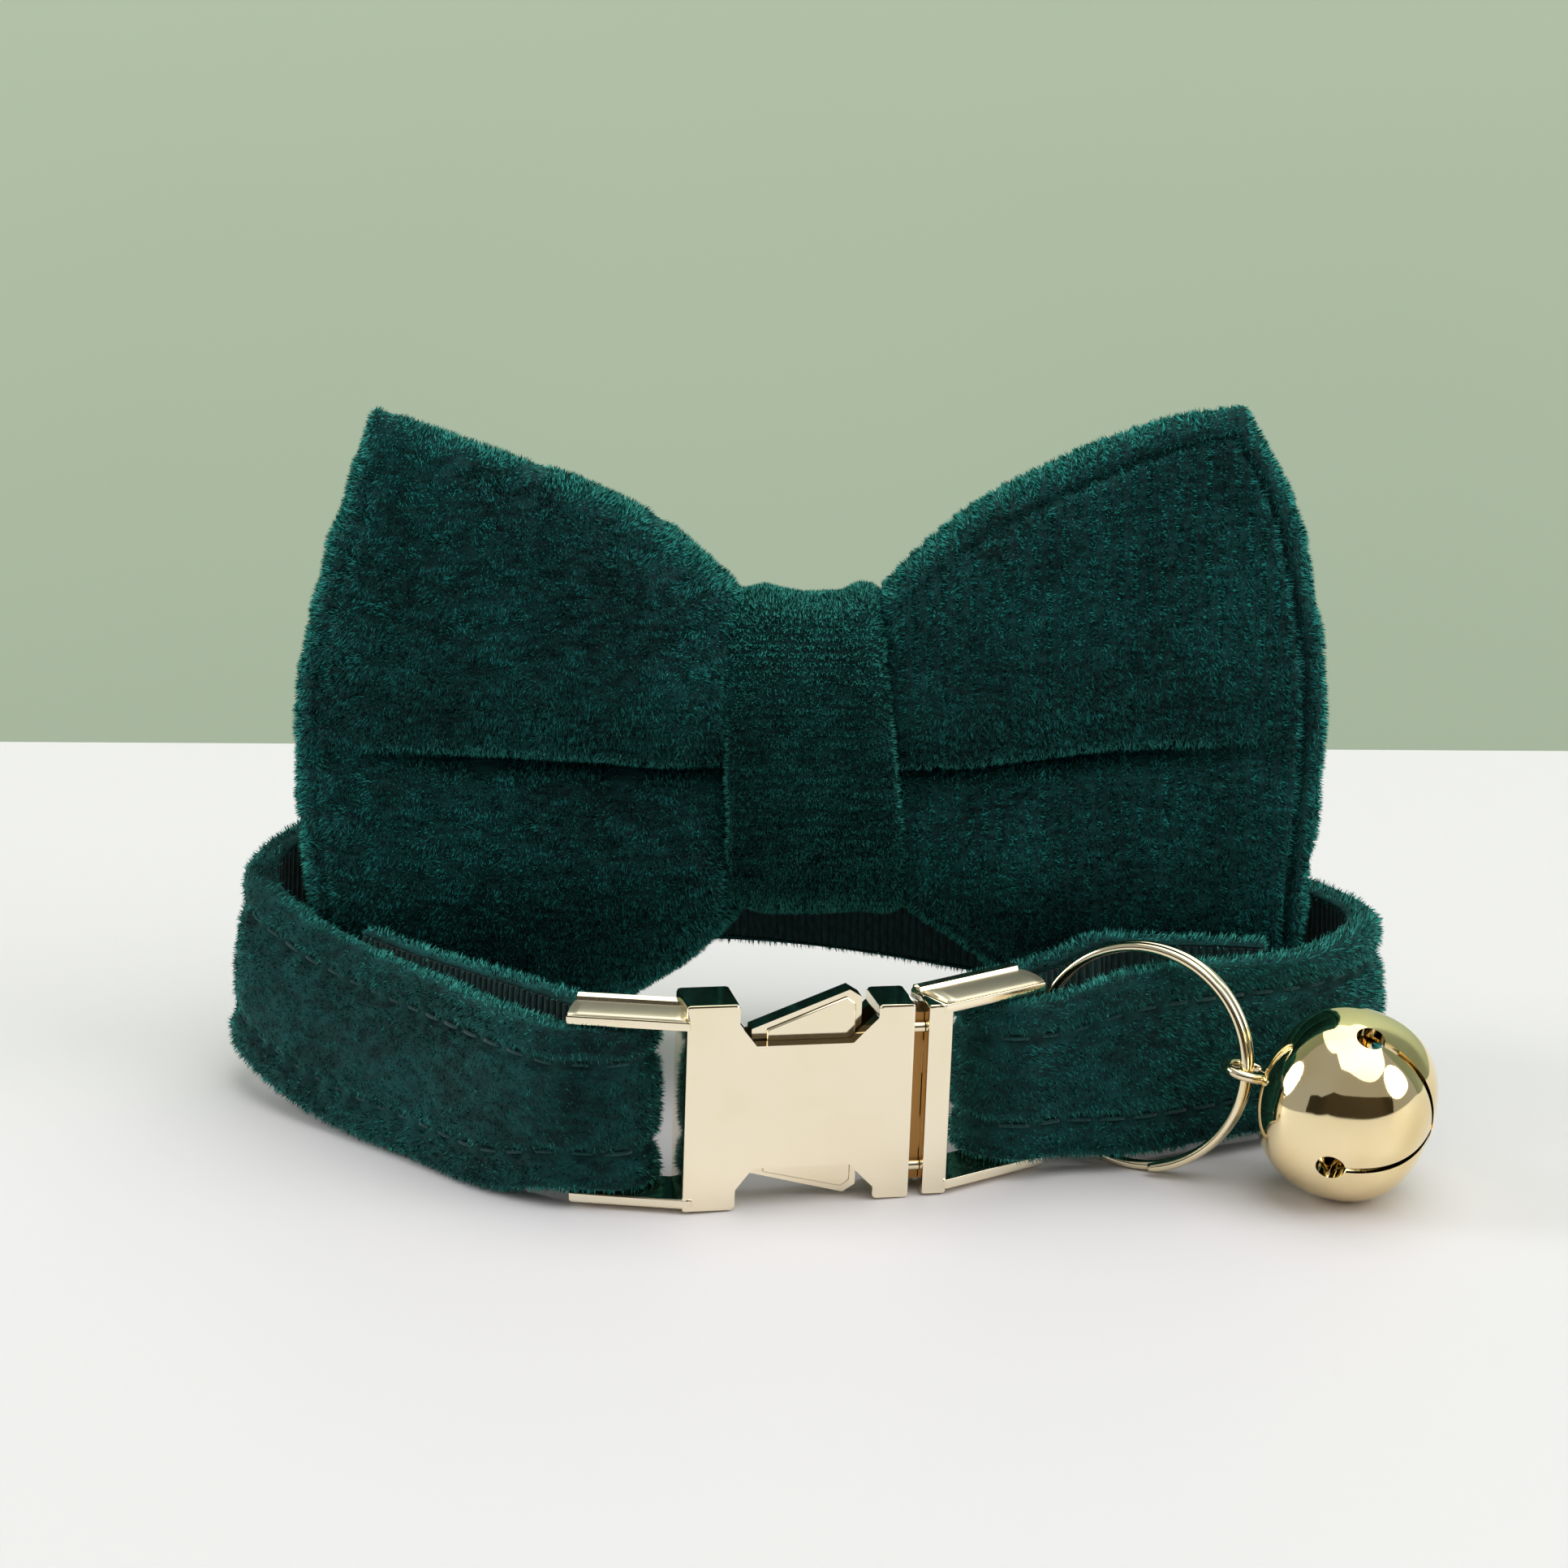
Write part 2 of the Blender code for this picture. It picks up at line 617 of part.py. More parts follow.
def section_frames(rows):
    """Middle point, direction away from the strap's webbing side, and up along the strap."""
    heading = unit(np.gradient(rows[:, :2], axis=0))
    side = turned(heading)
    lean = np.radians(rows[:, 3])[:, None]
    flat = np.column_stack([side, np.zeros(len(rows))])
    up = np.cos(lean) * np.array([[0.0, 0.0, 1.0]]) - np.sin(lean) * flat
    out = np.cos(lean) * flat + np.sin(lean) * np.array([[0.0, 0.0, 1.0]])
    middle = np.column_stack([rows[:, :2], rows[:, 2] + rows[:, 4] / 2])
    return middle, out, up


def sweep(rows, outline):
    """Rings of an outline (out, up) carried along the strap; outline(height) gives its points."""
    middle, out, up = section_frames(rows)
    rings = []
    for centre, o, u, height in zip(middle, out, up, rows[:, 4]):
        points = outline(height)
        rings.append(centre + points[:, :1] * o + points[:, 1:] * u)
    return np.array(rings)


def velvet_outline(height):
    """A C round the webbing: outer face with two stitched grooves, rounded edges, open inside."""
    half = height / 2
    face = strap_thick() / 2
    rear = -face
    wall = VELVET_WALL
    seam = half - STITCH_INSET
    puff = 0.25 * MM
    right = [(face - STITCH_DEPTH, seam), (face, seam + STITCH_HALF_WIDTH), (face, half - 0.7 * wall),
             (face - 0.6 * wall, half), (rear + 0.5 * wall, half), (rear, half - 0.35 * wall),
             (rear, half - wall), (face - wall, half - wall)]
    left = [(a, -b) for a, b in reversed(right)]
    middle = [(face, -(seam - STITCH_HALF_WIDTH)), (face + puff, 0.0), (face, seam - STITCH_HALF_WIDTH)]
    return np.array(right + left + middle)


def webbing_outline(height):
    """The webbing's flat section, inside the C."""
    half = height / 2 - VELVET_WALL - GAP
    rear = -strap_thick() / 2
    front = rear + WEBBING_THICK
    return np.array([(rear, -half), (front, -half), (front, half), (rear, half)])


def make_strap(group):
    rows = strap_path()
    add_mesh("strap_velvet", loft("strap_velvet", sweep(rows, velvet_outline)), group, VELVET)
    add_mesh("strap_webbing", loft("strap_webbing", sweep(rows, webbing_outline)), group, WEBBING)


def ring_place():
    """The ring's centre and its across, up and facing directions."""
    outer = smooth_curve(outer_layer(), FOLD_STEP)
    near = cut_at(outer, RING_ALONG, from_end=True)
    heading = unit(near[-1, :2] - near[-2, :2])
    spot = near[-1, :2] - turned(heading) * RING_FORWARD
    yaw = math.radians(RING_YAW)
    lean = math.radians(RING_LEAN)
    across = np.array([math.cos(yaw), math.sin(yaw), 0.0])
    back = np.array([-math.sin(yaw), math.cos(yaw), 0.0])
    up = back * math.sin(lean) + np.array([0.0, 0.0, math.cos(lean)])
    facing = np.cross(up, across)
    coils = RING_PITCH * RING_TURNS / 2
    reach = RING_OUTER / 2 * math.cos(lean) + coils * math.sin(lean)
    return np.array([spot[0], spot[1], reach]), across, up, facing


def wire(name, points, diameter, group, finish, resolution=2, cyclic=False):
    """A wire as a poly curve with a round bevel and filled caps."""
    curve = bpy.data.curves.new(name, "CURVE")
    curve.dimensions = "3D"
    curve.bevel_depth = diameter / 2
    curve.bevel_resolution = resolution
    curve.use_fill_caps = not cyclic
    spline = curve.splines.new("POLY")
    spline.points.add(len(points) - 1)
    for place, point in zip(spline.points, points):
        place.co = (*point, 1.0)
    spline.use_cyclic_u = cyclic
    made = bpy.data.objects.new(name, curve)
    group.objects.link(made)
    curve.materials.append(material(finish))
    return made


def meshed(curve_object, group):
    """The curve as a welded closed mesh object."""
    bpy.context.view_layer.update()
    graph = bpy.context.evaluated_depsgraph_get()
    mesh = bpy.data.meshes.new_from_object(curve_object.evaluated_get(graph))
    form = bmesh.new()
    form.from_mesh(mesh)
    bmesh.ops.remove_doubles(form, verts=form.verts, dist=1e-6)
    form.to_mesh(mesh)
    form.free()
    made = bpy.data.objects.new(curve_object.name + "_mesh", mesh)
    group.objects.link(made)
    made.matrix_world = curve_object.matrix_world
    bpy.data.objects.remove(curve_object, do_unlink=True)
    return made


def make_ring(group):
    """Two coils of wire side by side, on a circle that leans against the strap's edge."""
    centre, across, up, facing = ring_place()
    radius = (RING_OUTER - RING_WIRE) / 2
    steps = round(RING_STEPS * RING_TURNS)
    angle = np.linspace(0.0, 2 * math.pi * RING_TURNS, steps + 1) - math.radians(80.0)
    offset = np.linspace(-0.5, 0.5, steps + 1) * RING_PITCH * RING_TURNS
    points = (centre + radius * np.cos(angle)[:, None] * across + radius * np.sin(angle)[:, None] * up
              + offset[:, None] * facing)
    wire("split_ring", points, RING_WIRE, group, GOLD)


def bell_place():
    """The bell's centre on the table, its axis direction and the middle of its shank loop."""
    centre, across, up, _ = ring_place()
    grip = centre + across * (RING_OUTER - RING_WIRE) / 2
    yaw = math.radians(BELL_YAW)
    run = BELL_HALF_LENGTH + SHANK_REACH
    drop = grip[2] - BELL_RADIUS
    level = math.sqrt(run ** 2 - drop ** 2)
    axis = np.array([math.cos(yaw) * level, math.sin(yaw) * level, -drop]) / run
    middle = grip + axis * run
    return middle, axis, grip


def make_bell(group, cutters):
    """A turned shell with four slots that end in round holes, and a soldered shank loop."""
    middle, axis, grip = bell_place()
    outer = Vector(axis)
    turn = outer.to_track_quat("Z", "X").to_matrix().to_4x4()

    profile = bpy.data.meshes.new("bell_profile")
    rows = 9
    polar = [math.pi * i / (rows - 1) for i in range(rows)]
    wall = BELL_WALL
    points = [(BELL_RADIUS * math.sin(a), 0.0, BELL_HALF_LENGTH * math.cos(a)) for a in polar]
    points += [((BELL_RADIUS - wall) * math.sin(a), 0.0, (BELL_HALF_LENGTH - wall) * math.cos(a))
               for a in reversed(polar)]
    outer_edges = [(i, i + 1) for i in range(rows - 1)]
    inner_edges = [(i, i + 1) for i in range(rows, 2 * rows - 1)]
    profile.from_pydata(points, outer_edges + inner_edges, [])
    shell = bpy.data.objects.new("bell", profile)
    group.objects.link(shell)
    spin = shell.modifiers.new("Turned", "SCREW")
    spin.steps = 24
    spin.render_steps = 24
    spin.merge_threshold = 0.00001
    spin.use_merge_vertices = True
    fuse(shell, [])
    shell.data.transform(Matrix.Rotation(math.radians(7.5), 4, "Z"))

    tools = []
    for quarter in range(2):
        slot = box("slot", (-1.2 * BELL_RADIUS, -BELL_SLOT / 2, BELL_HOLE_ALONG),
                   (1.2 * BELL_RADIUS, BELL_SLOT / 2, 1.2 * BELL_HALF_LENGTH), cutters)
        hole = rod("slot_end", (-1.2 * BELL_RADIUS, 0.0, BELL_HOLE_ALONG),
                   (1.2 * BELL_RADIUS, 0.0, BELL_HOLE_ALONG), BELL_HOLE_RADIUS, cutters, 10)
        for tool in (slot, hole):
            tool.data.transform(Matrix.Rotation(math.radians(45.0 + 90.0 * quarter), 4, "Z"))
            tool.hide_render = True
            tool.display_type = "WIRE"
            tools.append(tool)
    fuse(shell, tools, "DIFFERENCE")
    place = Matrix.Translation(Vector(middle)) @ turn
    shell.data.transform(place)

    _, across, up, _ = ring_place()
    outward = Vector(axis)
    sideways = Vector(up).cross(outward).normalized()
    sweep_angle = np.linspace(0.0, 2 * math.pi, 14, endpoint=False)
    loop = [Vector(grip) + SHANK_RADIUS * (math.cos(a) * outward + math.sin(a) * sideways)
            for a in sweep_angle]
    shank = meshed(wire("shank", loop, SHANK_WIRE, group, GOLD, 1, True), group)
    fuse(shell, [shank])
    finish_piece(shell, "bell", GOLD, None, 35.0)

    form = bmesh.new()
    bmesh.ops.create_icosphere(form, subdivisions=2, radius=PELLET_RADIUS)
    ball = bpy.data.meshes.new("bell_pellet")
    form.to_mesh(ball)
    form.free()
    drop = BELL_RADIUS - BELL_WALL - PELLET_RADIUS - 2 * GAP
    ball.transform(Matrix.Translation(Vector(middle) - Vector((0.0, 0.0, drop))))
    add_mesh("bell_pellet", ball, group, GOLD)


def bow_middle():
    """The middle of the bow: across from the front's middle, back from the front, above the table."""
    return np.array([LOOP_SHIFT + BOW_RIGHT, BOW_BACK, BOW_HEIGHT / 2])


def make_wings(group):
    """The pinched pouch: at each reach a closed ring of front and back, with the crease across."""
    height = np.cos(np.linspace(0.0, math.pi, WING_SIDE))
    height = np.sign(height) * np.abs(height) ** 0.85
    bulge = (1 - np.abs(height) ** 2.6) ** 0.55
    crease = np.exp(-((height + 0.02) / 0.13) ** 2)
    overhang = np.exp(-((height - 0.22) / 0.2) ** 2)
    sections = [(-1, row) for row in reversed(WING[1:])] + [(1, row) for row in WING]
    rings = []
    for side, row in sections:
        half = BOW_HEIGHT / 2
        z = np.where(height > 0, row.top, row.bottom) * height * half
        outer = 1 - TIP_PULL * row.reach * np.abs(height) ** 1.5
        x = side * row.reach * BOW_WIDTH / 2 * outer
        edge = BOW_EDGE / 2 * min(1.0, row.reach * 3)
        depth = BOW_DEPTH / 2
        lobe = bulge * (1 - row.crease * crease) + 0.12 * row.crease * overhang
        front = -(edge * (0.35 + 0.65 * bulge) + (row.front * depth - edge) * lobe)
        rear = edge * (0.35 + 0.65 * bulge) + (row.back * depth - edge) * bulge
        sweep_forward = BOW_SWEEP_LEFT if side < 0 else BOW_SWEEP_RIGHT
        swept = -sweep_forward * row.reach ** 2
        front_points = np.column_stack([x, front + swept, z])
        rear_points = np.column_stack([x, rear + swept, z])[::-1]
        seam = np.array([[x[0], swept, z[0]], [x[-1], swept, z[-1]]])
        ring = np.vstack([seam[:1], front_points[1:-1], seam[1:], rear_points[1:-1]])
        rings.append(ring + bow_middle())
    mesh = loft("bow_wings", np.array(rings))
    add_mesh("bow_wings", mesh, group, VELVET, 60.0)


def make_knot(group):
    """The band round the middle: a flat section carried round a tall rounded loop."""
    angle = np.linspace(0.0, 2 * math.pi, 28, endpoint=False)
    waist = WING[0]
    inner_z = waist.top * BOW_HEIGHT / 2 + GAP + 0.6 * MM
    inner_y = waist.front * BOW_DEPTH / 2 + GAP + 0.4 * MM
    power = 0.78
    y = np.sign(np.cos(angle)) * np.abs(np.cos(angle)) ** power
    z = np.sign(np.sin(angle)) * np.abs(np.sin(angle)) ** power
    rings = []
    for cy, cz in zip(y, z):
        width = KNOT_WIDTH * (0.92 - 0.08 * cz)
        shift = KNOT_WIDTH * 0.045 * (0.3 - cz)
        outline = np.array([(-0.5, 0.25), (-0.5, 0.75), (-0.45, 1.0), (0.0, 1.12), (0.45, 1.0),
                            (0.5, 0.75), (0.5, 0.25), (0.45, 0.0), (0.0, 0.0), (-0.45, 0.0)])
        dip = 0.35 * max(cz, 0.0) ** 3 * (1 - (2 * outline[:, 0]) ** 2) * (outline[:, 1] > 0.9)
        grow = KNOT_WALL * (outline[:, 1] - dip)
        ring = np.column_stack([outline[:, 0] * width + shift, (inner_y + grow) * cy,
                                (inner_z + grow) * cz])
        rings.append(ring + bow_middle())
    add_mesh("knot_band", loft("knot_band", np.array(rings), closed=True), group, VELVET, 60.0)


def elastic_span(x):
    """Where the strap's back stretch is at this x: its middle's depth, its lower edge, its top."""
    rows = smooth_curve(outer_layer(), FOLD_STEP)
    back = rows[rows[:, 1] > 0.8 * STRAP_DEPTH]
    order = np.argsort(back[:, 0])
    depth = np.interp(x, back[order, 0], back[order, 1])
    low = np.interp(x, back[order, 0], back[order, 2])
    return depth, low


def rounded_path(corners, radius, steps):
    """A closed path through corners (y, z), each rounded, as points and outward directions."""
    points = []
    ways = []
    count = len(corners)
    for i, corner in enumerate(corners):
        before = unit(np.subtract(corners[i - 1], corner))
        after = unit(np.subtract(corners[(i + 1) % count], corner))
        middle = unit(before + after)
        half = math.acos(float(np.clip(before @ after, -1.0, 1.0))) / 2
        centre = np.asarray(corner) + middle * radius / math.sin(half)
        start = -turned(before)
        start = start if start @ middle < 0 else -start
        end = turned(after)
        end = end if end @ middle < 0 else -end
        for share in np.linspace(0.0, 1.0, steps):
            way = unit(start * (1 - share) + end * share)
            points.append(centre + way * radius)
            ways.append(way)
    return np.array(points), np.array(ways)


def make_elastic(name, side, spread, group):
    """A flat closed band: down the back of the strap, under its edge and up to the wing's back."""
    x = bow_middle()[0] + side * spread
    depth, low = elastic_span(x)
    reach = spread / (BOW_WIDTH / 2)
    swept = (BOW_SWEEP_LEFT if side < 0 else BOW_SWEEP_RIGHT) * reach ** 2
    back = np.interp(reach, [row.reach for row in WING], [row.back for row in WING])
    near = bow_middle()[1] - swept + back * BOW_DEPTH / 2 + 2 * GAP + ELASTIC_THICK / 2
    slope = ELASTIC_WIDTH / 2 * 0.2
    away = strap_thick() / 2 + GAP + ELASTIC_THICK / 2 + slope
    bottom = low - GAP - ELASTIC_THICK / 2 - slope
    corners = [(depth + away, bottom), (depth + away, ELASTIC_TOP), (near, ELASTIC_TOP),
               (depth - away, bottom)]
    points, ways = rounded_path(corners, ELASTIC_CORNER, 4)
    rings = []
    for (y, z), (way_y, way_z) in zip(points, ways):
        ring = []
        for across, out in ((-0.5, -0.5), (0.5, -0.5), (0.5, 0.5), (-0.5, 0.5)):
            grow = out * ELASTIC_THICK
            ring.append((x + across * ELASTIC_WIDTH, y + way_y * grow, z + way_z * grow))
        rings.append(ring)
    add_mesh(name, loft(name, np.array(rings), closed=True), group, ELASTIC, 50.0)


def stand_on_origin(group):
    """Move the collar so that the middle of its box's base is the origin."""
    bpy.context.view_layer.update()
    graph = bpy.context.evaluated_depsgraph_get()
    low = np.full(3, np.inf)
    high = np.full(3, -np.inf)
    for item in group.objects:
        if item.type == "EMPTY":
            continue
        mesh = item.evaluated_get(graph).to_mesh()
        points = np.empty(len(mesh.vertices) * 3, np.float32)
        mesh.vertices.foreach_get("co", points)
        place = np.array(item.matrix_world)
        points = points.reshape(-1, 3) @ place[:3, :3].T + place[:3, 3]
        low = np.minimum(low, points.min(axis=0))
        high = np.maximum(high, points.max(axis=0))
        item.evaluated_get(graph).to_mesh_clear()
    shift = Vector(((low[0] + high[0]) / -2, (low[1] + high[1]) / -2, -low[2]))
    for item in group.objects:
        if item.parent is None:
            item.location = item.location + shift
    print("collar moved by", [round(value, 6) for value in shift])


def main():
    clear_scene()
    group = collection("pet bow tie collar")
    cutters = collection("cutters")
    make_buckle(group, cutters)
    make_strap(group)
    make_ring(group)
    make_bell(group, cutters)
    make_wings(group)
    make_knot(group)
    make_elastic("elastic_left", -1, ELASTIC_LEFT, group)
    make_elastic("elastic_right", 1, ELASTIC_RIGHT, group)
    stand_on_origin(group)


main()
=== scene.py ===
"""Velvet bow tie collar: plush strap in a loop, gold buckle, ring and bell, and the padded bow.

Metres, +Z up. Tables are in the collar's own plan, whose x = 0, y = 0 is the front left corner of the
buckle's plate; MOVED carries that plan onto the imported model.
"""
import math
from collections import namedtuple

import bmesh
import bpy
import numpy as np
from mathutils import Matrix, Vector


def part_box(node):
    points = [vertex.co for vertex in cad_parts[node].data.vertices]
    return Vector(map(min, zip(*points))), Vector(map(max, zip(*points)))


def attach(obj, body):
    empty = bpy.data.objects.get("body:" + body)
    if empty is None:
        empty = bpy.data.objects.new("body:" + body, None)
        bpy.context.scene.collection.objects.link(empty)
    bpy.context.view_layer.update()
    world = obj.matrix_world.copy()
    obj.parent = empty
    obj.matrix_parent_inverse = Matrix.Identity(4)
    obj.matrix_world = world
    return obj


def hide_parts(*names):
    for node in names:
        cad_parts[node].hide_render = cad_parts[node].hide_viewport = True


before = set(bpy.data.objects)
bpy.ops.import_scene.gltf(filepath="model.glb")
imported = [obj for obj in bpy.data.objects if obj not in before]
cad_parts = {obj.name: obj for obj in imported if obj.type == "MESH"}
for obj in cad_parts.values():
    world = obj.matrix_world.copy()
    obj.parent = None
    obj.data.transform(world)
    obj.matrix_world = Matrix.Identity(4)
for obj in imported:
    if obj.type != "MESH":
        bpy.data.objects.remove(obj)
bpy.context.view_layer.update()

MM = 0.001
MOVED = np.array([-11.089, -24.293, 0.0]) * MM

# Strap
STRAP_HEIGHT = 16.6 * MM
SLOT_HEIGHT = 14.8 * MM
VELVET_WALL = 1.2 * MM
WEBBING = 1.2 * MM
THICK = 2.82 * MM
SEAM_INSET = 3.3 * MM
STITCH_PITCH = 3.0 * MM
STITCH_LENGTH = 2.2 * MM
RIB_PITCH = 0.72 * MM
STRAP_LEFT = 50.2 * MM
STRAP_RIGHT = 52.8 * MM
STRAP_DEPTH = 48.6 * MM
BACK_RISE = 10.0 * MM
LEFT_FOLD = 33.0 * MM
RIGHT_FOLD = 25.0 * MM
LEFT_SLACK = 1.4 * MM
RIGHT_SLACK = 0.4 * MM
SLOT_RUN = 2.8 * MM
RIGHT_ROOM = 1.2 * MM
RIGHT_SWING = 14.0
END_ROOM = 0.5 * MM
FOLD_RADIUS = 3.26 * MM
SLOT_RISE = 1.8 * MM
LOOP_SHIFT = 8.6 * MM
PATH_STEP = 1.9 * MM
BLADE_WIDTH = 0.16 * MM
STRAP_BLADES = 195000
WING_BLADES = 165000
KNOT_BLADES = 100000

# Buckle, in its own frame: u along the face, v back, w up
BUCKLE_YAW = 12.0
BUCKLE_ROLL = 2.0
BUCKLE_LEVEL = 9.7025 * MM
ARM_BEND = 22.0
ARM_LENGTH = 10.4 * MM
END_BAR_RADIUS = 1.25 * MM
BAR_DEPTH = 4.15 * MM
BUCKLE_END = 23.7 * MM
ARM_LEVEL = 9.2 * MM
LAND_HEIGHT = 8.62 * MM
LAND_DEPTH = 2.05 * MM
LAND_WIDTH = 3.7 * MM
LAND_RISE = 0.62 * MM
PRONG_FRONT = 1.75 * MM
WEDGE_START = 6.1 * MM
WEDGE_END = 15.8 * MM
WEDGE_TOP = 9.9 * MM
WEDGE_BOTTOM = 8.8 * MM
GAP_START = 20.3 * MM
GAP_END = 21.4 * MM

# Ring and bell
RING_OUTER = 20.6 * MM
RING_WIRE = 0.8 * MM
RING_PITCH = 1.12 * MM
RING_TURNS = 1.95
RING_ALONG = 9.8 * MM
RING_YAW = -24.0
RING_LEAN = 7.0
RING_FORWARD = 0.1 * MM
BELL_RADIUS = 8.5 * MM
BELL_HALF = 7.7 * MM
BELL_WALL = 0.9 * MM
BELL_YAW = -20.0
SHANK_RADIUS = 2.0 * MM
SHANK_REACH = 1.5 * MM
SHANK_WIRE = 0.9 * MM
SLOT_TURN = 22.0

# Bow
BOW_MIDDLE = np.array([10.9, 35.4, 32.5]) * MM

LoopPoint = namedtuple("LoopPoint", "across deep rise lean")
LOOP = [
    LoopPoint(-0.515, 0.150, 0.03, 4),
    LoopPoint(-0.645, 0.305, 0.02, 8),
    LoopPoint(-0.795, 0.470, 0.04, 13),
    LoopPoint(-0.910, 0.590, 0.17, 11),
    LoopPoint(-0.995, 0.725, 0.38, 7),
    LoopPoint(-0.935, 0.852, 0.60, 4),
    LoopPoint(-0.765, 0.945, 0.84, 0),
    LoopPoint(-0.440, 0.995, 1.00, 0),
    LoopPoint(-0.140, 1.000, 0.98, 0),
    LoopPoint(0.110, 0.992, 0.86, 0),
    LoopPoint(0.350, 0.968, 0.69, 0),
    LoopPoint(0.590, 0.928, 0.50, 0),
    LoopPoint(0.790, 0.856, 0.33, 0),
    LoopPoint(0.950, 0.742, 0.22, 2),
    LoopPoint(1.020, 0.582, 0.16, 3),
    LoopPoint(0.920, 0.428, 0.12, 2),
    LoopPoint(0.750, 0.330, 0.15, 2),
    LoopPoint(0.590, 0.248, 0.16, 2),
]
FoldPoint = namedtuple("FoldPoint", "along stand")
LEFT_STAND = [FoldPoint(0.0, 1.0), FoldPoint(0.15, 1.08), FoldPoint(0.3, 1.0), FoldPoint(0.5, 0.86),
              FoldPoint(0.75, 0.64), FoldPoint(1.0, 0.5)]
RIGHT_STAND = [FoldPoint(0.0, 1.0), FoldPoint(0.2, 1.28), FoldPoint(0.45, 1.32), FoldPoint(0.7, 0.95),
               FoldPoint(1.0, 0.5)]

# One wing's outline, in mm from the bow's middle: out to the side and up. The upper and lower edges
# run from the knot to the corners, the outer edge from the bottom corner to the tip.
LEFT_UPPER = [(6.6, 15.2), (9.6, 18.2), (14.0, 21.8), (20.0, 24.9), (27.9, 27.8), (33.5, 29.8),
              (39.3, 31.9)]
LEFT_LOWER = [(6.4, -15.4), (10.0, -19.2), (15.8, -23.2), (22.0, -26.4), (29.0, -29.2), (35.0, -31.2),
              (39.8, -32.3)]
LEFT_OUTER = [(39.8, -32.3), (43.6, -26.0), (46.2, -17.0), (47.1, -9.0), (47.5, 1.0), (46.2, 10.5),
              (43.9, 19.0), (41.6, 26.0), (39.3, 31.9)]
RIGHT_UPPER = [(6.8, 15.2), (9.9, 18.5), (14.0, 22.2), (18.0, 24.8), (26.1, 28.9), (33.0, 31.4),
               (39.0, 32.6)]
RIGHT_LOWER = [(8.0, -13.9), (11.5, -16.6), (17.9, -21.1), (24.0, -25.2), (30.0, -28.6), (36.0, -31.2),
               (39.3, -32.3)]
RIGHT_OUTER = [(39.3, -32.3), (43.6, -26.0), (45.6, -19.5), (46.2, -12.0), (47.1, 1.0), (47.0, 8.0),
               (45.6, 17.0), (43.4, 25.0), (39.0, 32.6)]


# Small mathematics
def unit(vectors):
    """Each row divided by its length."""
    return vectors / np.maximum(np.linalg.norm(vectors, axis=-1, keepdims=True), 1e-12)


def turned(heading):
    """A plan direction turned a quarter turn to its left."""
    return np.stack([-heading[..., 1], heading[..., 0]], axis=-1)


def smooth_curve(points, step):
    """A Catmull-Rom curve through rows, read again at an even step of plan length."""
    points = np.asarray(points, float)
    padded = np.vstack([2 * points[0] - points[1], points, 2 * points[-1] - points[-2]])
    share = np.linspace(0.0, 1.0, 16, endpoint=False)[:, None]
    pieces = []
    for a, b, c, d in zip(padded[:-3], padded[1:-2], padded[2:-1], padded[3:]):
        bend = 2 * a - 5 * b + 4 * c - d
        twist = 3 * b - a - 3 * c + d
        pieces.append(0.5 * (2 * b + (c - a) * share + bend * share ** 2 + twist * share ** 3))
    return even(np.vstack(pieces + [points[-1:]]), step)


def plan_length(rows):
    """The plan length from the first row to each row."""
    return np.concatenate([[0.0], np.cumsum(np.linalg.norm(np.diff(rows[:, :2], axis=0), axis=1))])


def even(rows, step):
    """Rows read again at an even step of plan length."""
    along = plan_length(rows)
    wanted = np.linspace(0.0, along[-1], max(2, round(along[-1] / step)) + 1)
    return np.stack([np.interp(wanted, along, column) for column in rows.T], axis=1)


def cut_at(rows, length, from_end=False):
    """The part of a row curve up to a plan length from its start or its end."""
    rows = rows[::-1] if from_end else rows
    along = plan_length(rows)
    last = np.array([np.interp(length, along, column) for column in rows.T])
    return np.vstack([rows[along < length], last])


def ripple(x, y, seed, waves=7):
    """Smooth wandering between about -1 and 1: a sum of sine waves of unlike directions."""
    rng = np.random.default_rng(seed)
    total = np.zeros(np.broadcast(x, y).shape)
    for _ in range(waves):
        angle = rng.uniform(0.0, 2 * math.pi)
        pace = rng.uniform(0.6, 1.7)
        shift = rng.uniform(0.0, 2 * math.pi)
        total += np.sin(pace * (x * math.cos(angle) + y * math.sin(angle)) + shift)
    return total / math.sqrt(waves) / 1.4


def read_table(pairs, at):
    """A table of (place, value) read at other places."""
    table = np.array(pairs, float)
    return np.interp(at, table[:, 0], table[:, 1])


def along_line(points, count):
    """A smooth line through points, read at even shares of its length."""
    dense = smooth_curve(np.asarray(points, float), 0.2)
    along = plan_length(dense)
    wanted = np.linspace(0.0, along[-1], count)
    return np.stack([np.interp(wanted, along, column) for column in dense.T], axis=1)


# Meshes
def add_piece(name, points, faces, replaces=(), smooth=180.0):
    """Make a mesh from whole arrays, link it and tell the frame what it is."""
    mesh = bpy.data.meshes.new(name)
    mesh.from_pydata(np.asarray(points, float).tolist(), [], [tuple(face) for face in faces])
    mesh.update()
    return adopt(name, mesh, replaces, smooth)


def adopt(name, mesh, replaces=(), smooth=180.0):
    """Link a mesh as a piece of the collar."""
    made = bpy.data.objects.new(name, mesh)
    bpy.context.scene.collection.objects.link(made)
    mesh.shade_smooth()
    if smooth < 180.0:
        mesh.set_sharp_from_angle(angle=math.radians(smooth))
    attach(made, "root")
    if replaces:
        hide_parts(*replaces)
    return made


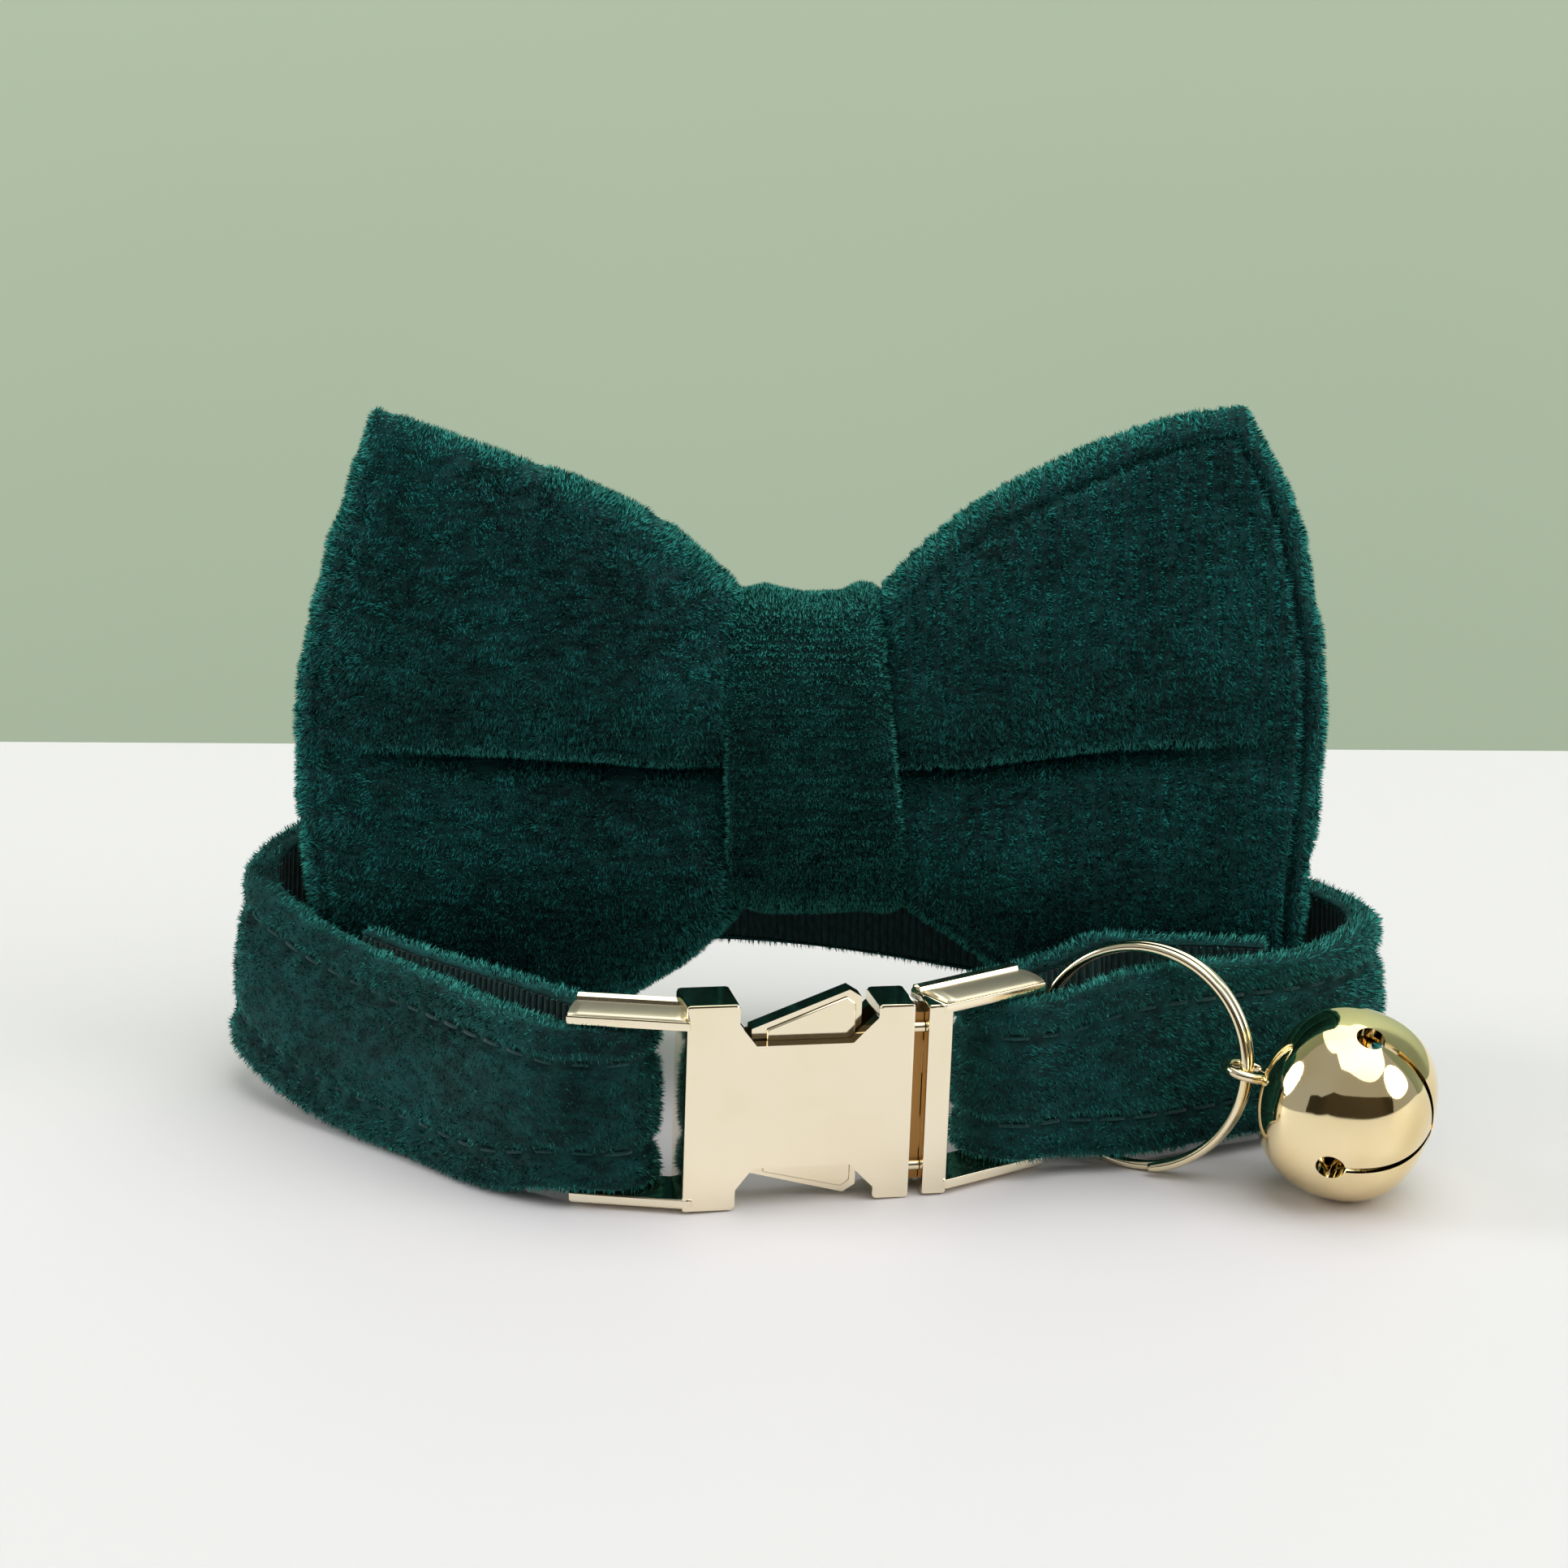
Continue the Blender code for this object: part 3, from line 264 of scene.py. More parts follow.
def grid_faces(rows, columns, wrap_rows=False, wrap_columns=False):
    """Quads over a grid of points stored row by row."""
    index = np.arange(rows * columns).reshape(rows, columns)
    if wrap_rows:
        index = np.vstack([index, index[:1]])
    if wrap_columns:
        index = np.hstack([index, index[:, :1]])
    quads = np.stack([index[:-1, :-1], index[:-1, 1:], index[1:, 1:], index[1:, :-1]], axis=-1)
    return quads.reshape(-1, 4)


def outward(mesh):
    """Turn all faces outward and weld the seams."""
    form = bmesh.new()
    form.from_mesh(mesh)
    bmesh.ops.remove_doubles(form, verts=form.verts, dist=1e-6)
    bmesh.ops.recalc_face_normals(form, faces=form.faces)
    form.to_mesh(mesh)
    form.free()


def cap_ends(ring_count, size):
    """Faces that close the two ends of a swept closed outline."""
    return [tuple(range(size))[::-1], tuple(range((ring_count - 1) * size, ring_count * size))]


def tube(name, points, radius, sides=12, replaces=(), closed=False):
    """A round wire along points, as a piece."""
    points, faces = tube_arrays(points, radius, sides, closed)
    return add_piece(name, points, faces, replaces)


def tube_arrays(points, radius, sides, closed=False):
    """Points and faces of a round wire: a ring, or a length with its ends closed."""
    points = np.asarray(points, float)
    heading = np.gradient(points, axis=0)
    if closed:
        heading = np.roll(points, -1, axis=0) - np.roll(points, 1, axis=0)
    heading = unit(heading)
    side = np.cross(heading[0], (0.31, 0.22, 0.92))
    sides_of = []
    for way in heading:
        side = side - way * (side @ way)
        side = side / np.linalg.norm(side)
        sides_of.append(side)
    across = np.array(sides_of)
    other = np.cross(heading, across)
    angle = np.linspace(0.0, 2 * math.pi, sides, endpoint=False)
    radius = np.broadcast_to(np.asarray(radius, float), (len(points),))
    rings = (points[:, None] + radius[:, None, None]
             * (np.cos(angle)[None, :, None] * across[:, None]
                + np.sin(angle)[None, :, None] * other[:, None]))
    faces = [tuple(face) for face in grid_faces(len(points), sides, closed, True)]
    if not closed:
        faces += cap_ends(len(points), sides)
    return rings.reshape(-1, 3), faces


def join_arrays(parts):
    """Several (points, faces) pairs as one."""
    points = []
    faces = []
    start = 0
    for some, quads in parts:
        points.append(some)
        faces += [tuple(start + i for i in face) for face in quads]
        start += len(some)
    return np.vstack(points), faces


def read_mesh(made):
    """Vertex places, vertex normals and triangles of an object."""
    mesh = made.data
    mesh.calc_loop_triangles()
    points = np.empty(len(mesh.vertices) * 3, np.float32)
    mesh.vertices.foreach_get("co", points)
    normals = np.empty(len(mesh.vertices) * 3, np.float32)
    mesh.vertices.foreach_get("normal", normals)
    triangles = np.empty(len(mesh.loop_triangles) * 3, np.int32)
    mesh.loop_triangles.foreach_get("vertices", triangles)
    return points.reshape(-1, 3), normals.reshape(-1, 3), triangles.reshape(-1, 3)


def grow_pile(name, base, count, length, nap, keep, seed, spread, painted_light_and_grain):
    """Short blades over a surface: each is one triangle from two roots to a tip. Blades lean along the
    nap and a little at random, and are shaded with the surface's own direction. keep says how dense
    they stand, and the last function gives the painted light and shade and the nap's pattern of
    their tone."""
    rng = np.random.default_rng(seed)
    points, normals, triangles = read_mesh(base)
    corners = points[triangles]
    area = np.linalg.norm(np.cross(corners[:, 1] - corners[:, 0], corners[:, 2] - corners[:, 0]), axis=1)
    area = area * keep(corners.mean(axis=1), unit(normals[triangles].mean(axis=1)))
    chosen = rng.choice(len(triangles), count, p=area / area.sum())
    first = rng.random(count)
    second = rng.random(count)
    over = first + second > 1
    first[over] = 1 - first[over]
    second[over] = 1 - second[over]
    weights = np.stack([1 - first - second, first, second], axis=1)[:, :, None]
    root = (corners[chosen] * weights).sum(axis=1)
    facing = unit((normals[triangles[chosen]] * weights).sum(axis=1))
    wander = rng.normal(size=(count, 3)) * spread
    way = unit(facing + nap(root, facing) + wander)
    side = unit(np.cross(way, rng.normal(size=(count, 3))))
    long = length * rng.uniform(0.55, 1.15, (count, 1))
    half = BLADE_WIDTH * rng.uniform(0.6, 1.1, (count, 1)) / 2
    buried = root - facing * 0.12 * MM
    blade = np.stack([buried - side * half, buried + side * half, root + way * long], axis=1)
    blade[..., 2] = np.maximum(blade[..., 2], 0.05 * MM)
    mesh = bpy.data.meshes.new(name)
    mesh.vertices.add(count * 3)
    mesh.vertices.foreach_set("co", blade.astype(np.float32).ravel())
    mesh.loops.add(count * 3)
    mesh.loops.foreach_set("vertex_index", np.arange(count * 3, dtype=np.int32))
    mesh.polygons.add(count)
    mesh.polygons.foreach_set("loop_start", np.arange(0, count * 3, 3, dtype=np.int32))
    mesh.polygons.foreach_set("loop_total", np.full(count, 3, np.int32))
    mesh.update(calc_edges=True)
    shade = mesh.attributes.new("tone", "FLOAT", "POINT")
    # A random tone plus the piece's painted light and shade, with the nap's pattern.
    own = rng.uniform(-0.55, 0.55, count) + painted_light_and_grain(root, facing)
    # Painted shade at each blade's two roots and painted light at its tip.
    tone = np.stack([own - 0.7, own - 0.7, own + 0.6], axis=1)
    shade.data.foreach_set("value", tone.astype(np.float32).ravel())
    made = adopt(name, mesh)
    soft = unit(facing + 0.35 * wander)
    mesh.normals_split_custom_set_from_vertices(np.repeat(soft, 3, axis=0).tolist())
    return made


# Materials
class Shade:
    """A socket with arithmetic: each operator adds one Math node to the same tree."""

    def __init__(self, tree, socket):
        self.tree = tree
        self.socket = socket

    def node(self, kind, inputs=(), output=0, **settings):
        """Any other node, with its inputs filled by name or number."""
        made = self.tree.nodes.new(kind)
        for key, value in settings.items():
            setattr(made, key, value)
        for key, value in dict(inputs).items():
            self.fill(made.inputs[key], value)
        return Shade(self.tree, made.outputs[output])

    def fill(self, socket, value):
        """Link or set an input."""
        if isinstance(value, Shade):
            self.tree.links.new(value.socket, socket)
        elif value is not None:
            socket.default_value = value

    def math(self, operation, *values, clamp=False):
        """One Math node over these values."""
        made = self.tree.nodes.new("ShaderNodeMath")
        made.operation = operation
        made.use_clamp = clamp
        for socket, value in zip(made.inputs, values):
            self.fill(socket, value)
        return Shade(self.tree, made.outputs[0])

    def __add__(self, other):
        return self.math("ADD", self, other)

    def __radd__(self, other):
        return self.math("ADD", other, self)

    def __sub__(self, other):
        return self.math("SUBTRACT", self, other)

    def __rsub__(self, other):
        return self.math("SUBTRACT", other, self)

    def __mul__(self, other):
        return self.math("MULTIPLY", self, other)

    def __rmul__(self, other):
        return self.math("MULTIPLY", other, self)

    def clamped(self):
        """The value held between 0 and 1."""
        return self.math("ADD", self, 0.0, clamp=True)

    def step(self, low, high):
        """Smoothly 0 below low and 1 above high."""
        return self.node("ShaderNodeMapRange", {"Value": self, "From Min": low, "From Max": high},
                         interpolation_type="SMOOTHSTEP")

    def mix(self, low, high):
        """Between two colours."""
        made = self.tree.nodes.new("ShaderNodeMix")
        made.data_type = "RGBA"
        self.fill(made.inputs[0], self)
        self.fill(made.inputs[6], low)
        self.fill(made.inputs[7], high)
        return Shade(self.tree, made.outputs[2])

    def noise(self, size, detail=2.0, stretch=(1.0, 1.0, 1.0)):
        """Noise with features of a size in metres, in the object's own coordinates."""
        place = self.node("ShaderNodeTexCoord", output=3)
        scaled = self.node("ShaderNodeMapping", {"Vector": place, "Scale": stretch})
        return self.node("ShaderNodeTexNoise", {"Vector": scaled, "Scale": 1.0 / size, "Detail": detail})


def new_material(name):
    """An empty Principled material: the material, its shader node and a starting Shade."""
    made = bpy.data.materials.new(name)
    made.use_nodes = True
    shader = made.node_tree.nodes["Principled BSDF"]
    return made, shader, Shade(made.node_tree, None)


def bump(start, shader, height, distance, strength=1.0):
    """Feed a height to the shader's normal."""
    made = start.node("ShaderNodeBump", {"Height": height, "Distance": distance, "Strength": strength})
    start.fill(shader.inputs["Normal"], made)


def colour(red, green, blue):
    """A colour from its 0 to 255 screen values, in linear light."""
    made = [(value / 255.0 / 12.92) if value <= 10 else ((value / 255.0 + 0.055) / 1.055) ** 2.4
            for value in (red, green, blue)]
    return (*made, 1.0)


# Painted rim highlight: the colour that the lightest pile is mixed toward.
PAINTED_RIM_HIGHLIGHT = colour(62, 168, 150)
# The velvet ground under the pile is darker than the pile's own colours: painted shade deep in the pile.
PAINTED_SHADE_GROUND_DARK = colour(2, 24, 26)
PAINTED_SHADE_GROUND_LIGHT = colour(16, 76, 74)
PLATING = ((0.97, 0.88, 0.68, 1), (0.95, 0.84, 0.62, 1))


def velvet(name, dark, light, rows, row_size, sheen, tones=True, glint=0.9):
    """Pile fabric, in soft patches where the nap turns, with faint knitted rows. Layer Weight mixes the
    base colour lighter where the cloth is seen edge on: a painted sheen. With tones it reads the blades'
    tone attribute, which carries painted shade deep between the blades, painted light at the tips and the
    pieces' painted light and shade, and it mixes the lightest toward a painted rim highlight."""
    made, shader, start = new_material(name)
    patch = start.noise(9.0 * MM, 2.0)
    knit = start.noise(row_size, 2.0, rows)
    grain = start.noise(0.35 * MM, 1.0)
    share = 0.30 * patch.step(0.25, 0.75) + 0.45 * knit.step(0.3, 0.7) + 0.25 * grain
    if tones:
        tone = start.node("ShaderNodeAttribute", output=2, attribute_name="tone")
        share = share + 0.30 * tone
    # Painted sheen: the base colour is mixed lighter where the cloth is seen edge on.
    edge_on = start.node("ShaderNodeLayerWeight", {"Blend": 0.5}, output=1)
    share = share + glint * edge_on.math("POWER", edge_on, 3.0)
    ground = (share - 0.12).clamped().mix(dark, light)
    # Painted highlight: where painted light and painted sheen run past 0.95, the colour goes toward the rim
    # highlight colour.
    if tones:
        ground = (share - 0.95).clamped().mix(ground, PAINTED_RIM_HIGHLIGHT)
    start.fill(shader.inputs["Base Color"], ground)
    shader.inputs["Roughness"].default_value = 0.88
    shader.inputs["Specular IOR Level"].default_value = 0.22
    shader.inputs["Sheen Weight"].default_value = sheen
    shader.inputs["Sheen Roughness"].default_value = 0.38
    shader.inputs["Sheen Tint"].default_value = (0.16, 0.75, 0.66, 1.0)
    bump(start, shader, 0.7 * knit + 0.3 * grain, 0.35 * MM, 0.7)
    return made


def woven(name, dark, light, size):
    """Ribbed narrow cloth: fine threads, darker between them."""
    made, shader, start = new_material(name)
    thread = start.noise(size, 2.0, (1.0, 1.0, 0.35))
    patch = start.noise(6.0 * MM, 1.0)
    share = 0.65 * thread.step(0.3, 0.7) + 0.35 * patch
    start.fill(shader.inputs["Base Color"], share.clamped().mix(dark, light))
    shader.inputs["Roughness"].default_value = 0.8
    shader.inputs["Sheen Weight"].default_value = 0.2
    shader.inputs["Specular IOR Level"].default_value = 0.25
    bump(start, shader, thread, 0.12 * MM, 0.6)
    return made


def polished_gold(name, tint, deep, roughness, wave=0.0):
    """Pale gold plating, mirror bright, with hairline wear and a slight casting wave."""
    made, shader, start = new_material(name)
    broad = start.noise(6.0 * MM, 2.0)
    fine = start.noise(0.12 * MM, 2.0, (1.0, 1.0, 0.15))
    start.fill(shader.inputs["Base Color"], broad.step(0.3, 0.8).mix(tint, deep))
    shader.inputs["Metallic"].default_value = 1.0
    start.fill(shader.inputs["Roughness"], roughness + 0.05 * fine.step(0.45, 0.75))
    bump(start, shader, broad + 0.02 * fine, 0.05 * MM, wave)
    return made


MATERIALS = {}


def make_materials():
    """Every material of the collar, by the key that dress() takes."""
    strap_rows = (0.45, 0.45, 1.0)
    wing_rows = (0.4, 1.0, 1.3)
    # The three piles are copies of one teal velvet. The wing pile is set lighter than the strap's, and the
    # knot pile's light colour and glint of 1.5 are raised, as painted light on the wings and on the knot's
    # top.
    MATERIALS["strap pile"] = velvet("strap velvet pile", colour(3, 40, 43), colour(38, 144, 136),
                                     strap_rows, 0.9 * MM, 0.8)
    MATERIALS["strap base"] = velvet("strap velvet ground", PAINTED_SHADE_GROUND_DARK, PAINTED_SHADE_GROUND_LIGHT,
                                     strap_rows, 0.9 * MM, 0.35, False)
    MATERIALS["wing pile"] = velvet("bow velvet pile", colour(8, 64, 66), colour(50, 180, 171),
                                    wing_rows, 0.75 * MM, 0.7)
    MATERIALS["wing base"] = velvet("bow velvet ground", PAINTED_SHADE_GROUND_DARK, PAINTED_SHADE_GROUND_LIGHT,
                                    wing_rows, 0.75 * MM, 0.35, False)
    MATERIALS["knot pile"] = velvet("knot velvet pile", colour(2, 34, 37), colour(62, 176, 165),
                                    (0.28, 1.0, 1.5), 0.8 * MM, 1.0, True, 1.5)
    MATERIALS["webbing"] = woven("ribbed webbing", colour(2, 24, 24), colour(12, 60, 57), 0.3 * MM)
    MATERIALS["elastic"] = woven("woven elastic", colour(2, 22, 23), colour(14, 56, 54), 0.25 * MM)
    MATERIALS["thread"] = woven("sewing thread", colour(5, 46, 48), colour(16, 78, 75), 0.2 * MM)
    # Painted shade: a dark brown copy of the plating for the plug's root, where the buckle's gap is in
    # shade.
    MATERIALS["inner"] = polished_gold("gold in the buckle's gap with painted shade", (0.36, 0.19, 0.06, 1),
                                       (0.24, 0.11, 0.03, 1), 0.3)
    MATERIALS["buckle"] = polished_gold("buckle gold", *PLATING, 0.10, 0.05)
    MATERIALS["satin"] = polished_gold("arm gold", *PLATING, 0.42, 0.05)
    MATERIALS["wire"] = polished_gold("ring gold", (0.95, 0.84, 0.60, 1), (0.90, 0.76, 0.50, 1), 0.09, 0.1)
    MATERIALS["bell"] = polished_gold("bell gold", (0.95, 0.80, 0.49, 1), (0.88, 0.69, 0.36, 1), 0.05, 0.6)


def dress(made, key):
    """Give a piece one material."""
    made.data.materials.clear()
    made.data.materials.append(MATERIALS[key])


# Strap
def end_bar(side):
    """An end bar's centre in plan and the direction its arm points, on side -1 or 1."""
    bend = math.radians(ARM_BEND)
    start = 0.0 if side < 0 else BUCKLE_END
    outward_uv = np.array([side * math.cos(bend), math.sin(bend)])
    back_uv = np.array([-side * outward_uv[1], side * outward_uv[0]])
    centre = np.array([start, 0.0]) + outward_uv * (ARM_LENGTH - END_BAR_RADIUS) + back_uv * BAR_DEPTH
    yaw = math.radians(BUCKLE_YAW)
    turn = np.array([[math.cos(yaw), -math.sin(yaw)], [math.sin(yaw), math.cos(yaw)]])
    return turn @ centre, turn @ outward_uv


def outer_layer():
    """Rows x, y, rise, lean, height of the strap's outer layer between the end bars."""
    rows = []
    for point in LOOP:
        width = STRAP_LEFT if point.across < 0 else STRAP_RIGHT
        rows.append([point.across * width + LOOP_SHIFT, point.deep * STRAP_DEPTH, point.rise * BACK_RISE,
                     point.lean, STRAP_HEIGHT])
    ends = []
    for side in (-1, 1):
        centre, outward_way = end_bar(side)
        front = turned(outward_way) * -side
        room = RIGHT_ROOM if side > 0 else 0.0
        swing = math.radians(RIGHT_SWING) if side > 0 else 0.0
        near = centre + front * (FOLD_RADIUS + room)
        leaving = outward_way * math.cos(swing) + front * math.sin(swing)
        clear = near + leaving * SLOT_RUN
        ends.append([[*near, SLOT_RISE, 0.0, SLOT_HEIGHT], [*clear, SLOT_RISE, 0.0, SLOT_HEIGHT]])
    return np.array(ends[0] + rows + ends[1][::-1])


def fold(side, outer):
    """Rows of the turn round an end bar and of the layer folded back behind the outer one."""
    centre, outward_way = end_bar(side)
    back = turned(outward_way) * side
    slack = LEFT_SLACK if side < 0 else RIGHT_SLACK
    heart = centre - outward_way * slack
    swing = np.linspace(-math.pi / 2, math.pi / 2, 25)[:, None]
    room = RIGHT_ROOM if side > 0 else 0.0
    reach = np.where(swing < 0, FOLD_RADIUS + room, FOLD_RADIUS)
    bow = heart - outward_way * FOLD_RADIUS * np.cos(swing) + back * reach * np.sin(swing)
    turn = np.column_stack([bow, np.full((25, 2), (SLOT_RISE, 0.0)), np.full(25, SLOT_HEIGHT)])
    length = LEFT_FOLD if side < 0 else RIGHT_FOLD
    beside = cut_at(outer, length, from_end=side > 0)
    inward = turned(unit(np.gradient(beside[:, :2], axis=0))) * side
    share = plan_length(beside) / length
    stand = read_table(LEFT_STAND if side < 0 else RIGHT_STAND, share)
    apart = np.maximum(stand * (2 * FOLD_RADIUS + room), THICK + END_ROOM)
    layer = beside.copy()
    layer[:, :2] += inward * apart[:, None]
    layer[:, 3] *= -1
    return turn, layer


def strap_path(step):
    """Rows for the whole strap: left fold, outer layer round the loop, right fold."""
    fine = smooth_curve(outer_layer(), PATH_STEP)
    left_turn, left_layer = fold(-1, fine)
    right_turn, right_layer = fold(1, fine)
    left = smooth_curve(left_layer[::-2], step)
    right = smooth_curve(right_layer[::2], step)
    outer = smooth_curve(outer_layer(), step)
    joined = np.vstack([left[:-1], left_turn[::-1][:-1], outer[1:-1], right_turn[1:], right[1:]])
    soft = joined.copy()
    for _ in range(6):
        soft[1:-1, 2:] = 0.25 * soft[:-2, 2:] + 0.5 * soft[1:-1, 2:] + 0.25 * soft[2:, 2:]
    return even(soft, step)


def strap_frames(rows):
    """Middle point, direction out of the velvet face and direction up, row by row."""
    heading = unit(np.gradient(rows[:, :2], axis=0))
    side = turned(heading)
    lean = np.radians(rows[:, 3])[:, None]
    flat = np.column_stack([side, np.zeros(len(rows))])
    upright = np.array([[0.0, 0.0, 1.0]])
    up = np.cos(lean) * upright - np.sin(lean) * flat
    out = np.cos(lean) * flat + np.sin(lean) * upright
    middle = np.column_stack([rows[:, :2], rows[:, 2] + rows[:, 4] / 2])
    middle[:, :2] += MOVED[:2]
    return middle, out, up


def carry(rows, out_of, up_of):
    """Points at distances out of and up the strap's middle line, row by row."""
    middle, out, up = strap_frames(rows)
    return middle[:, None] + out_of[:, :, None] * out[:, None] + up_of[:, :, None] * up[:, None]


def velvet_section(height, along):
    """The velvet's closed C: a crowned face with two sewn grooves, soft rolled edges and a thin
    inner wall. Returns (out, up) arrays, one row per station."""
    half = (height / 2)[:, None]
    face = THICK / 2
    share = np.linspace(-1.0, 1.0, 34)[None, :]
    up = share * (half - 0.75 * MM)
    seam = half - SEAM_INSET
    pull = 0.72 + 0.28 * np.cos(2 * math.pi * along / STITCH_PITCH)[:, None]
    groove = np.exp(-((np.abs(up) - seam) / (0.7 * MM)) ** 2)
    crown = 0.30 * MM * (1 - np.minimum(np.abs(up) / seam, 1.0) ** 2)
    roll = 0.12 * MM * np.exp(-((np.abs(up) - seam - 1.7 * MM) / (1.0 * MM)) ** 2)
    wander = 0.16 * MM * ripple(along[:, None] / (3.4 * MM), up / (3.0 * MM), 3)
    wander = wander + 0.22 * MM * ripple(along[:, None] / (11.0 * MM), up / (12.0 * MM), 5)
    out = face - 0.2 * MM + crown + roll + wander - 0.85 * MM * groove * pull
    edge_wave = 0.16 * MM * ripple(along[:, None] / (4.0 * MM), 0 * half, 8)
    turn = np.linspace(0.0, math.pi / 2, 7)[None, 1:]
    top_out = (face - 0.75 * MM) + 0.75 * MM * np.cos(turn) + 0 * half
    top_up = (half - 0.75 * MM) + (0.75 * MM + edge_wave) * np.sin(turn)
    rest_out = np.array([0.2, -0.55, -0.92, -1.0, -1.0, -0.6, 0.2]) * face
    rest_out[-1] = face - VELVET_WALL
    drop = np.array([0.0, 0.0, 0.1, 0.25, 0.42, 0.45, 0.45]) * MM
    rest_up = half - drop[None, :] + edge_wave * (drop < 0.3 * MM)[None, :]
    top_out = np.hstack([top_out, rest_out[None, :] + 0 * half])
    top_up = np.hstack([top_up, rest_up])
    out = np.hstack([out, top_out, top_out[:, ::-1]])
    up = np.hstack([up, top_up, -top_up[:, ::-1]])
    return out, up


def make_strap():
    """Velvet, pile, webbing and stitches."""
    rows = strap_path(0.55 * MM)
    along = plan_length(rows)
    out, up = velvet_section(rows[:, 4], along)
    points = carry(rows, out, up)
    size = out.shape[1]
    faces = [tuple(face) for face in grid_faces(len(rows), size, False, True)]
    faces += cap_ends(len(rows), size)
    velvet_piece = add_piece("strap_velvet_cover", points.reshape(-1, 3), faces, ["strap_velvet"])
    outward(velvet_piece.data)
    dress(velvet_piece, "strap base")

    middle_line, out_way, up_way = strap_frames(rows)

    def beside(where):
        """Distance out of the strap's middle, distance from the nearer groove, and place along it."""
        near = np.concatenate([
            np.linalg.norm(part[:, None, :2] - middle_line[None, :, :2], axis=2).argmin(axis=1)
            for part in (where[start:start + 2000] for start in range(0, len(where), 2000))])
        off = where - middle_line[near]
        away = (off * out_way[near]).sum(axis=1)
        groove = np.abs(np.abs((off * up_way[near]).sum(axis=1)) - (rows[near, 4] / 2 - SEAM_INSET))
        return away, groove, along[near]

    def outside(where, facing):
        """1 where the pile shows: the velvet face and the rolled edges, hardly any in the grooves."""
        away, groove, _ = beside(where)
        return np.where(away > -0.75 * THICK / 2, 1.0 - 0.97 * np.exp(-(groove / (0.55 * MM)) ** 4), 0.25)

    def shade(where, facing):
        """Painted shade deep in the grooves, darkest where the stitches pull them down; painted light on
        faces turned up and on the right, toward the window; painted shade on the far left."""
        _, groove, place = beside(where)
        pull = 0.6 + 0.4 * np.cos(2 * math.pi * place / STITCH_PITCH)
        # Painted light toward the right window, and painted shade on the far left.
        painted_window_light = 1.25 * np.clip((where[:, 0] - 6 * MM) / (36 * MM), 0.0, 1.0)
        painted_left_shade = 0.55 * np.clip((-18 * MM - where[:, 0]) / (14 * MM), 0.0, 1.0)
        # Painted light on faces turned up, and painted shade in the grooves.
        return (0.9 * np.maximum(facing[:, 2], 0.0) + painted_window_light - painted_left_shade
                - 1.5 * np.exp(-(groove / (0.75 * MM)) ** 2) * pull)

    def nap(where, facing):
        """The pile is brushed down and a little to the right, and turns in patches."""
        swirl = ripple(where[:, 0] / (2.4 * MM) + where[:, 1] / (2.4 * MM), where[:, 2] / (1.6 * MM), 21)
        other = ripple(where[:, 0] / (1.0 * MM) - where[:, 1] / (1.0 * MM), where[:, 2] / (0.7 * MM), 22)
        return np.column_stack([0.55 * swirl + 0.25, 0.2 * other, 0.5 * other - 0.30])

    pile = grow_pile("strap_velvet_pile", velvet_piece, STRAP_BLADES, 0.58 * MM, nap, outside, 11, 0.22,
                     shade)
    dress(pile, "strap pile")

    rows = strap_path(RIB_PITCH / 6)
    along = plan_length(rows)
    half = rows[:, 4] / 2 - 0.55 * MM
    rear = -THICK / 2
    rib = 0.20 * MM * np.abs(np.sin(math.pi * along / RIB_PITCH)) ** 0.6
    covered = np.array([False, False, False, False, True, True])
    wall_up = np.array([-1.0, -0.33, 0.33, 1.0, 1.0, -1.0])
    out = np.where(covered[None, :], rear + WEBBING, rear + 0.16 * MM - rib[:, None])
    up = wall_up[None, :] * half[:, None]
    points = carry(rows, out, up)
    faces = [tuple(face) for face in grid_faces(len(rows), 6, False, True)] + cap_ends(len(rows), 6)
    webbing = add_piece("strap_ribbed_webbing", points.reshape(-1, 3), faces,
                        ["strap_webbing"], 50.0)
    outward(webbing.data)
    dress(webbing, "webbing")

    rows = strap_path(0.5 * MM)
    along = plan_length(rows)
    middle, out_way, up_way = strap_frames(rows)
    stitches = []
    starts = np.arange(2.0 * MM, along[-1] - 3.0 * MM, STITCH_PITCH)
    for start in starts:
        heights = rows[(along > start) & (along < start + STITCH_LENGTH), 4]
        if np.any(np.abs(heights - SLOT_HEIGHT) < 1e-9):
            continue
        for side in (-1, 1):
            place = start + np.linspace(0.0, 1.0, 6) * STITCH_LENGTH
            sink = 0.16 * MM * (1 - np.sin(np.linspace(0.0, math.pi, 6)))
            high = np.interp(place, along, rows[:, 4] / 2) - SEAM_INSET
            line = np.stack([np.interp(place, along, middle[:, i]) for i in range(3)], axis=1)
            way = unit(np.stack([np.interp(place, along, out_way[:, i]) for i in range(3)], axis=1))
            lift = unit(np.stack([np.interp(place, along, up_way[:, i]) for i in range(3)], axis=1))
            line = line + way * (THICK / 2 - 0.62 * MM - sink)[:, None] + lift * (side * high)[:, None]
            stitches.append(tube_arrays(line, 0.17 * MM, 6))
    points, faces = join_arrays(stitches)
    dress(add_piece("strap_stitches", points, faces), "thread")


